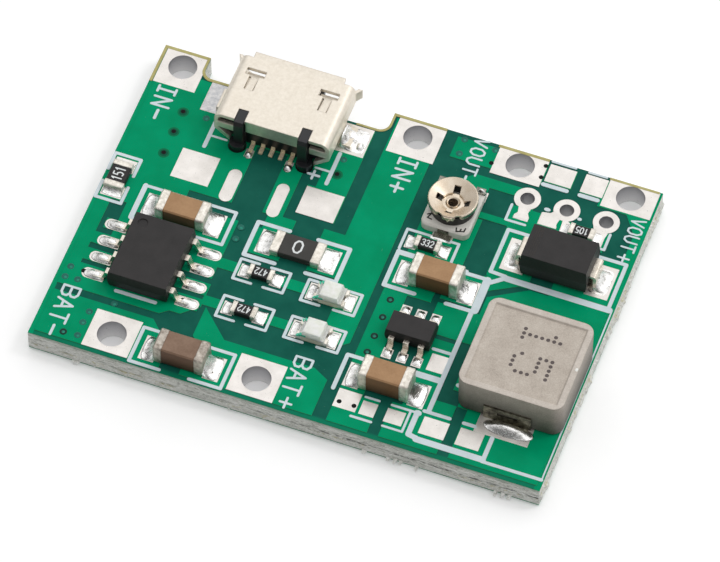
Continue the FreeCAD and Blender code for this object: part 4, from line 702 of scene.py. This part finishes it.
# Solder
def rim_of(across, out):
    """The numbers of the points round a grid that has out + 1 rows of across + 1 points."""
    row = across + 1
    rim = [j * row for j in range(out + 1)] + [out * row + i for i in range(1, row)]
    return rim + [j * row + across for j in range(out - 1, -1, -1)] + list(range(across - 1, 0, -1))


def meniscus(x, y, turned, width, reach, height, spread=0.12, sink=0.12, across=8, out=9):
    """Solder that climbs an end face: it hangs concave from the face and thins out along its land."""
    points, faces = [], []
    ax, ay = math.cos(turned), math.sin(turned)
    for j in range(out + 1):
        v = j / out
        rise = height * (1 - v) ** 2.2 + 0.035 * (1 - v)
        for i in range(across + 1):
            u = 2 * i / across - 1
            half = width / 2 * (1 + spread * math.sin(v * math.pi / 2))
            edge = (1 - abs(u) ** 4) ** 1.4
            along = v * (reach + sink) * (0.82 + 0.18 * edge) - sink
            side = u * half
            points.append(at(x + along * ax - side * ay, y + along * ay + side * ax,
                             rise * (0.25 + 0.75 * edge)))
    row = across + 1
    under = len(points)
    points += [Vector((p.x, p.y, (CORNER.z - ROOT) * MM)) for p in points]
    for j in range(out):
        for i in range(across):
            a = j * row + i
            faces.append((a, a + row, a + row + 1, a + 1))
            faces.append((under + a, under + a + 1, under + a + row + 1, under + a + row))
    rim = rim_of(across, out)
    for a, b in zip(rim, rim[1:] + rim[:1]):
        faces.append((a, under + a, under + b, b))
    return points, faces


def mound(x, y, length, width, height, base=0.0, power=3.0, steps=10, lean=0.0):
    """A rounded puddle of solder over a land."""
    points, faces = [], []
    for j in range(steps + 1):
        for i in range(steps + 1):
            u, v = 2 * i / steps - 1, 2 * j / steps - 1
            fold = max(abs(u), abs(v))
            length_to_rim = (abs(u) ** power + abs(v) ** power) ** (1 / power)
            if length_to_rim:
                u, v = u * fold / length_to_rim, v * fold / length_to_rim
            rise = height * (1 - fold ** 2) ** 1.5 * (1 + lean * u)
            points.append(at(x + u * length / 2, y + v * width / 2, base - ROOT + rise))
    row = steps + 1
    for j in range(steps):
        for i in range(steps):
            a = j * row + i
            faces.append((a, a + 1, a + row + 1, a + row))
    rim = rim_of(steps, steps)
    faces.append(tuple(rim[1:] + rim[:1]))
    return points, faces


LEFT, RIGHT, BACKWARD, FORWARD = math.pi, 0.0, math.pi / 2, -math.pi / 2
CHARGER_ROWS = [1.27 * step for step in (-1.5, -0.5, 0.5, 1.5)]
BOOST_ROWS = [0.95 * step for step in (-1, 0, 1)]
# At both ends of a chip part: the solder's width, reach and height, and its middle's shift off the part's
END_SOLDER = {
    "charger_capacitor": (1.55, 0.95, 0.6, 0, 0),
    "battery_capacitor": (1.55, 0.9, 0.95, 0, 0),
    "output_capacitor": (1.55, 0.9, 0.6, 0, 0),
    "boost_capacitor": (1.55, 0.9, 0.7, 0, 0),
    "link_resistor": (1.55, 0.95, 0.34, 0, 0),
    "back_led_resistor": (0.84, 0.58, 0.28, 0.03, 0.02),
    "front_led_resistor": (0.84, 0.58, 0.28, 0.03, 0.01),
    "feedback_resistor": (0.84, 0.58, 0.28, 0, 0),
    "trimmer_resistor": (0.84, 0.58, 0.28, -0.02, 0),
    "back_led": (1.0, 0.48, 0.22, 0, -0.03),
    "front_led": (1.0, 0.48, 0.22, 0, -0.01),
}


def end_solder():
    """Solder at the ends of the chip parts."""
    joints = []
    for part, (width, reach, height, shift_x, shift_y) in END_SOLDER.items():
        low, high = board_box(part + "_ends")
        y = middle(part + "_ends")[1] + shift_y
        joints.append(meniscus(low[0] + shift_x, y, LEFT, width, reach, height))
        joints.append(meniscus(high[0] + shift_x, y, RIGHT, width, reach, height))
    # The edge resistor is the one part that lies along the board's depth
    low, high = board_box("edge_resistor_ends")
    x = middle("edge_resistor_ends")[0]
    return joints + [meniscus(x, low[1], FORWARD, 1.15, 0.42, 0.42),
                     meniscus(x, high[1], BACKWARD, 1.15, 0.3, 0.36)]


def lead_solder():
    """Domes over the feet of the chips, and solder along the diode's strips."""
    x, y = middle("charger_chip_body")
    joints = [mound(x + side * 2.98, y + row, 1.5, 0.76, 0.27, power=2.8, lean=-0.45 * side)
              for row in CHARGER_ROWS for side in (-1, 1)]
    x, y = middle("boost_chip_body")
    joints += [mound(x + row, y + side * 1.62, 0.62, 0.72, 0.16, power=2.8)
               for row in BOOST_ROWS for side in (-1, 1)]
    joints += [mound(x, 15.38, length, 2.36, 0.09, power=7) for x, length in ((25.75, 1.46), (31.15, 1.5))]
    x, y = middle("diode_body")
    return joints + [meniscus(x - 2.5, y, LEFT, 1.5, 0.8, 0.75), meniscus(x + 2.5, y, RIGHT, 1.5, 0.8, 0.75)]


INDUCTOR_SOLDER = [
    mound(29.45, 3.36, 3.3, 1.12, 0.5, power=2.3, steps=16), mound(29.3, 11.1, 3.0, 0.8, 0.3, power=2.3),
]
SOCKET_SOLDER = [
    mound(13.5, 20.1, 1.86, 2.0, 0.16, power=6, steps=12),
    mound(13.3, 20.3, 1.6, 1.35, 0.42, power=2.3, steps=14, lean=-0.5),
    meniscus(12.95, 20.1, RIGHT, 1.6, 0.9, 0.8),
    mound(14.0, 19.75, 0.6, 0.8, 0.26, power=2.4),
    mound(7.8, 16.8, 0.52, 0.62, 0.24, power=2.4),
    mound(10.42, 16.7, 0.62, 0.7, 0.28, power=2.2),
]
TRIMMER_SOLDER = [
    mound(19.78, 18.45, 0.6, 0.5, 0.32, base=0.6, power=2.3),
    mound(22.28, 18.72, 0.66, 0.5, 0.34, base=0.6, power=2.3),
    mound(20.87, 15.0, 1.45, 0.44, 0.1, power=2.8),
]


def make_solder():
    """The curved solder that stands for the plain wedges of the CAD model."""
    joints = end_solder() + lead_solder() + INDUCTOR_SOLDER + SOCKET_SOLDER + TRIMMER_SOLDER
    solder = piece("solder_menisci", joined(joints), SOLDER)
    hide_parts("solder_joints")


# Details of the board
def quarter(x, y, across, down, steps=6):
    """The quarter turn from beside a middle to below it, without its first point."""
    turns = [math.pi / 2 * i / steps for i in range(1, steps + 1)]
    return [(x + across * math.cos(a), y - down * math.sin(a)) for a in turns]


def make_bare_edges():
    """Laminate left free of varnish beside the wire pads and round the notch."""
    bend, floor = 22.0, 21.4      # where the notch's sides start to bend, and its floor
    strips = [box(0, WIDTH - 0.21, 2.84, WIDTH), box(0, 20.0, 0.19, WIDTH - 0.21),
              box(15.3, WIDTH - 0.19, 18.62, WIDTH), box(22.0, WIDTH - 0.2, 25.3, WIDTH),
              box(29.2, WIDTH - 0.17, 32.4, WIDTH)]
    strips.append([(3.0, WIDTH), (3.0, bend)] + quarter(3.6, bend, -0.6, 0.6)
                  + [(5.0, floor), (5.0, 21.24)] + quarter(3.6, bend, -0.78, 0.8)[::-1]
                  + [(2.84, bend), (2.84, WIDTH)])
    strips.append([(15.15, WIDTH), (15.15, bend)] + quarter(14.55, bend, 0.6, 0.6)
                  + [(13.2, floor), (13.2, 21.27)] + quarter(14.55, bend, 0.76, 0.76)[::-1]
                  + [(15.3, bend), (15.3, WIDTH)])
    plates("bare_edges", [flat(outline, 0.004) for outline in strips], BARE)


def make_land_corners():
    """Varnish that rounds the outer ends of the charger's lands."""
    middle_x, middle_y = middle("charger_chip_body")
    reach, radius = 3.79, 0.38
    turns = [math.pi / 2 * i / 6 for i in range(7)]
    corners = []
    for row in CHARGER_ROWS:
        y = middle_y + row
        for side in (-1, 1):
            tip = middle_x + side * reach
            for up in (-1, 1):
                arc = [(tip - side * radius * (1 - math.sin(a)), y + up * radius * math.cos(a))
                       for a in turns]
                outline = arc + [(tip, y + up * (radius + 0.01))]
                corners.append(flat(outline if side * up < 0 else outline[::-1], 0.004, SUNK))
    plates("land_corners", corners, MASK)


def make_header_tails():
    """Tin between the pin rings and their lands, and varnish that narrows its necks."""
    tails = [[(24.62, 18.97), (24.72, 18.5), (24.58, 18.06), (24.72, 18.01), (25.04, 18.13), (25.5, 18.03),
              (25.5, 18.31), (25.34, 18.6), (25.4, 19.05), (25.2, 18.95), (24.8, 18.9)],
             [(26.13, 19.03), (26.13, 18.12), (27.26, 18.12), (27.24, 18.5), (27.3, 18.86), (27.0, 19.08),
              (26.85, 19.35), (26.62, 19.12)],
             [(27.55, 18.15), (27.95, 18.15), (28.02, 18.5), (28.0, 18.8), (27.75, 18.95), (27.5, 18.85)],
             [(29.35, 19.18), (29.6, 18.6), (29.6, 17.8), (30.28, 17.8), (30.3, 18.4), (30.39, 18.88),
              (29.9, 18.95)]]
    plates("header_tails", [flat(outline[::-1], 0.008) for outline in tails], TINNED)
    covers = [[(24.52, 18.25), (24.68, 18.45), (24.74, 18.62), (24.66, 18.9), (24.52, 18.98)],
              [(25.54, 18.32), (25.54, 19.03), (25.42, 18.98), (25.32, 18.62), (25.46, 18.36)],
              [(27.3, 18.83), (27.22, 18.4), (27.4, 18.1), (27.54, 18.14), (27.52, 18.83)]]
    plates("neck_covers", [flat(outline, 0.004, SUNK) for outline in covers], MASK)


def make_left_socket_pad():
    """Frosty, uneven tin on the socket's left pad."""
    plates("frosted_land", [flat(box(3.77, 19.02, 5.5, 21.18), 0.008)], FROSTED)


# Prints on the parts
def stroke_plates(runs, stroke, top, step=0.0004):
    """Runs of points as thin strokes on a part's top, each a hair higher than the one before."""
    made = []
    for run in runs:
        for (x0, y0), (x1, y1) in zip(run, run[1:]):
            outline = stroke_outline(x0, y0, x1, y1, stroke, 3)
            made.append(prism(outline, top - 0.01, top + 0.004 + step * len(made)))
    return made


# The width and height of a resistor's figures, the step between them and their stroke
LARGE, NARROW, SMALL = (0.5, 0.85, 0.7, 0.12), (0.22, 0.62, 0.34, 0.085), (0.18, 0.44, 0.27, 0.065)


def make_numbers():
    for name, part, text, (width, height, pitch, stroke), turned in (
            ("link_number", "link", "0", LARGE, 0.0), ("edge_number", "edge", "151", NARROW, math.pi / 2),
            ("back_led_number", "back_led", "472", SMALL, math.pi),
            ("front_led_number", "front_led", "472", SMALL, math.pi),
            ("feedback_number", "feedback", "332", SMALL, 0.0),
            ("trimmer_side_number", "trimmer", "105", SMALL, math.pi)):
        node = part + "_resistor_body"
        x, y = middle(node)
        span = (len(text) - 1) * pitch + width
        ax, ay = math.cos(turned), math.sin(turned)
        x0, y0 = x - span / 2 * ax + height / 2 * ay, y - span / 2 * ay - height / 2 * ax
        runs = write(text, x0, y0, width, height, pitch, turned)
        plates(name, stroke_plates(runs, stroke, top_of(node)), NUMERALS)


DOTS = {
    "1": ["  #  ", " ##  ", "  #  ", "  #  ", "  #  ", "  #  ", " ### "],
    "5": ["#####", "#    ", "#### ", "    #", "    #", "#   #", " ### "],
}


def make_stamp():
    """A dot-matrix number on the inductor, read along the board's depth."""
    x, y = middle("inductor_body")
    start_x, start_y = x + 0.5, y + 2.05
    face = top_of("inductor_body") - 0.1      # the top inside its rim
    across, along, radius, pitch = 0.38, 0.33, 0.125, 6.3
    marks = []
    for index, letter in enumerate("15"):
        for row, cells in enumerate(DOTS[letter]):
            for column, cell in enumerate(cells):
                if cell == "#":
                    dot_x, dot_y = start_x + (3 - row) * across, start_y - (index * pitch + column) * along
                    marks.append(disc(dot_x, dot_y, radius, face - 0.02, face + 0.014, 12))
    plates("inductor_number", marks, STAMP)


def make_diode_band():
    """The rough band and the pits that mark the diode's cathode end."""
    source = random.Random(7)
    middle_x, middle_y = middle("diode_body")
    top = top_of("diode_body")
    pits = []
    for row in range(22):
        for column in range(4):
            x = middle_x - 1.75 + 0.13 * column + source.uniform(-0.015, 0.015)
            y = middle_y - 1.08 + 0.1 * row + 0.05 * (column % 2) + source.uniform(-0.015, 0.015)
            if source.random() < 0.9:
                size = source.uniform(0.02, 0.032)
                pits.append(prism(box(x - size, y - size, x + size, y + size), top - 0.02, top + 0.006))
    plates("diode_band", pits, ETCH)


def make_cathode_marks():
    """Green paint on the carrier's two edges, on both lamps' cathode side."""
    marks = []
    for lamp in ("back_led_base", "front_led_base"):
        x, y = middle(lamp)
        for edge, inner in ((y + 0.635, y + 0.3), (y - 0.635, y - 0.34)):
            for low, high, near, far in ((0.3, 0.375, x - 0.99, x - 0.7), (0.4, 0.53, x - 0.81, x - 0.35)):
                outline = [(near, edge), (far, edge), (far + 0.1, inner), (near + 0.06, (edge + inner) / 2)]
                marks.append(prism(outline if edge < inner else outline[::-1], low, high))
    plates("cathode_marks", marks, CATHODE)


def make_base_marks():
    """Two angular marks printed at the front of the trimmer's base."""
    x, y = middle("trimmer_base")
    strokes = [[(-1.28, -1.02), (-1.05, -0.86), (-1.2, -1.25), (-0.92, -1.3)],
               [(0.72, -1.38), (0.78, -1.62), (1.24, -1.5), (1.26, -1.24)], [(1.0, -1.55), (1.02, -1.38)]]
    runs = [[(x + u, y + v) for u, v in run] for run in strokes]
    marks = stroke_plates(runs, 0.09, top_of("trimmer_base"), 0.0005)
    plates("base_marks", marks, BLACK_MARK)


def make_eyelet_shade():
    """A dark disc of painted shade at the bottom of the trimmer's hollow rivet."""
    floor = disc(*middle("trimmer_base"), 0.31, 0.05, 0.3, 20)
    plates("eyelet_bore_shade", [floor], EYELET_SHADE)


def make_rim_crumb():
    """A bright crumb on the inductor's right rim."""
    outline = [(32.3, 6.98), (32.44, 6.94), (32.47, 7.1), (32.4, 7.2), (32.3, 7.14)]
    plates("rim_crumb", [prism(outline, 2.7, 2.815)], FIBRE)


# Torn edges
UNDERSIDE = -1.59
RIDGE = ((1.0, -0.3), (0.55, 0.45), (0.1, 1.0), (-0.45, 0.6), (-1.0, -0.3))     # shares of height and depth


def ragged_web(name, start, end, out, level, half, reach, seed):
    """The torn web of a snapped score line: a rough ridge along an edge."""
    source = random.Random(seed)
    length = math.dist(start, end)
    count = int(length / 0.11)
    along = ((end[0] - start[0]) / length, (end[1] - start[1]) / length)
    size = len(RIDGE)
    points, faces = [], []
    swell = 0.5
    for step in range(count + 1):
        swell += (0.5 - swell) * 0.12 + source.uniform(-0.2, 0.2)
        swell = min(1.0, max(0.05, swell))
        ends = 0.0 if step in (0, count) else 1.0
        run = length * step / count
        height = level + source.uniform(-0.07, 0.07)
        for up, share in RIDGE:
            bulge = share * swell + source.uniform(-0.12, 0.12) * (share > 0)
            depth = reach * bulge * ends - 0.02 * (share < 0)
            x = start[0] + along[0] * run + out[0] * depth
            y = start[1] + along[1] * run + out[1] * depth
            points.append(at(x, y, min(-0.06, max(-1.585, height + half * up))))
    for near in range(0, count * size, size):
        far = near + size
        for k in range(size):
            after = (k + 1) % size
            faces.append((near + k, near + after, far + after, far + k))
    faces += [tuple(range(size)), tuple(count * size + k for k in reversed(range(size)))]
    piece(name, (points, faces), LAMINATE, smooth=False)


def shard(source, x, y, z, out_x, out_y, size):
    """A thin splinter with its root in the edge."""
    along_x, along_y = -out_y, out_x
    reach, half = size * source.uniform(0.6, 1.6), size * source.uniform(0.25, 0.7)
    lean = source.uniform(-0.6, 0.6) * size
    root_x, root_y = x - out_x * 0.05, y - out_y * 0.05
    points = [at(root_x + along_x * half, root_y + along_y * half, z),
              at(root_x - along_x * half, root_y - along_y * half, z + size * 0.2),
              at(root_x, root_y, max(z - size * 0.4, UNDERSIDE)),
              at(x + out_x * reach + along_x * lean, y + out_y * reach + along_y * lean,
                 max(z + source.uniform(-0.3, 0.2) * size, UNDERSIDE + 0.01))]
    return points, [(0, 1, 2), (0, 3, 1), (1, 3, 2), (2, 3, 0)]


def flake(source, x, size):
    """A flat flake of laminate that stands out of the front edge, near the underside."""
    middle_x = x + source.uniform(-0.1, 0.1)
    half = size * source.uniform(0.35, 0.6)
    reach, other = (size * source.uniform(0.9, 1.5) for _ in range(2))
    low = source.uniform(-1.58, -1.4)
    outline = [(middle_x - half, 0.05), (middle_x - half * 0.7, -reach), (middle_x + half * 0.4, -other),
               (middle_x + half, 0.05)]
    return prism(outline, low, low + 0.1)


# Where the larger flakes of the front edge stand, and their size
FLAKES = [(3.0, 0.22), (3.2, 0.18), (12.95, 0.12), (21.6, 0.22), (23.2, 0.24), (23.6, 0.3), (23.9, 0.2),
          (24.95, 0.26), (30.0, 0.26), (30.4, 0.3), (30.85, 0.24)]


def make_burrs():
    """Torn glass fibres and crumbs along the two snapped edges."""
    source = random.Random(11)
    shards = []
    for _ in range(110):
        y, z = source.uniform(0.2, 22.7), source.uniform(-1.45, -0.1)
        shards.append(shard(source, LENGTH + 0.02, y, z, 1, 0, source.uniform(0.04, 0.14)))
    for _ in range(50):
        x, z = source.uniform(0.3, 32.4), source.uniform(-1.5, -0.3)
        shards.append(shard(source, x, 0.0, z, 0, -1, source.uniform(0.03, 0.08)))
    for x, size in FLAKES:
        shards += [flake(source, x, size) for _ in range(2)]
    plates("edge_burrs", shards, FIBRE)


make_legend()
make_vias()
make_bare_edges()
make_land_corners()
make_numbers()
make_stamp()
make_diode_band()
make_cathode_marks()
make_base_marks()
make_header_tails()
make_left_socket_pad()
ragged_web("right_web", (LENGTH, 0.05), (LENGTH, WIDTH - 0.05), (1, 0), -0.95, 0.45, 0.26, 3)
ragged_web("front_web", (LENGTH - 0.05, 0), (0.05, 0), (0, -1), -1.25, 0.3, 0.17, 5)
make_burrs()
make_eyelet_shade()
make_rim_crumb()
make_solder()


# Camera, floor and light
def make_camera():
    """The photo's own view, fitted to the board's four corners in it."""
    data = bpy.data.cameras.new("camera")
    data.sensor_width = 36
    data.lens = 296.46
    data.clip_start, data.clip_end = 0.01, 10
    camera = placed("camera", data)
    camera.location = (0.0709018, -0.1906327, 0.2977775)
    camera.rotation_euler = (0.5985616, -0.0006236, 0.3534239)
    bpy.context.scene.camera = camera


def make_floor():
    """White paper that glows a little, so that the camera sees it as white as the background."""
    mesh = bpy.data.meshes.new("floor")
    size = 3.0
    corners = [(-size, -size, 0), (size, -size, 0), (size, size, 0), (-size, size, 0)]
    mesh.from_pydata(corners, [], [(0, 1, 2, 3)])
    floor = placed("floor", mesh)
    floor.location.z = -0.0001
    made = Finish("floor_paper", base_color="f2f2f2", roughness=0.9)
    rays = made.add("ShaderNodeLightPath")
    seen = made.math("MAXIMUM", rays.outputs["Is Camera Ray"], rays.outputs["Is Glossy Ray"])
    made.set("Emission Color", "ffffff")
    made.set("Emission Strength", made.math("MULTIPLY", seen, 0.2))
    mesh.materials.append(made.material)


def make_key_lamp():
    """A small lamp behind the board to the right, aimed at its middle."""
    data = bpy.data.lights.new("key", "AREA")
    data.shape, data.size, data.energy = "SQUARE", 0.12, 0.45
    lamp = placed("key", data)
    lamp.location = (0.3, 0.2, 0.5)
    lamp.rotation_euler = (-lamp.location).to_track_quat("-Z", "Y").to_euler()


TENT_DARKEST, TENT_BRIGHTEST = 0.14, 1.15


def make_tent():
    """A light tent, brightest overhead and dark in front. The camera sees it white."""
    world = bpy.data.worlds.new("studio")
    bpy.context.scene.world = world
    world.use_nodes = True
    nodes, link = world.node_tree.nodes, world.node_tree.links.new
    ground = nodes["Background"]
    ground.inputs["Color"].default_value = (1, 1, 1, 1)
    direction = nodes.new("ShaderNodeTexCoord")
    aim = nodes.new("ShaderNodeVectorMath")
    aim.operation = "DOT_PRODUCT"
    aim.inputs[1].default_value = (0.17, 0.47, 0.866)
    link(direction.outputs["Generated"], aim.inputs[0])
    tent = nodes.new("ShaderNodeMapRange")
    tent.interpolation_type = "SMOOTHSTEP"
    for socket, value in (("From Min", -0.2), ("From Max", 0.95), ("To Min", TENT_DARKEST),
                          ("To Max", TENT_BRIGHTEST)):
        tent.inputs[socket].default_value = value
    link(aim.outputs["Value"], tent.inputs["Value"])
    rays = nodes.new("ShaderNodeLightPath")
    strength = nodes.new("ShaderNodeMix")
    link(rays.outputs["Is Camera Ray"], strength.inputs[0])
    link(tent.outputs["Result"], strength.inputs[2])
    strength.inputs[3].default_value = 1.0
    link(strength.outputs[0], ground.inputs["Strength"])


make_camera()
make_floor()
make_tent()
make_key_lamp()
bpy.context.scene.view_settings.view_transform = "Standard"
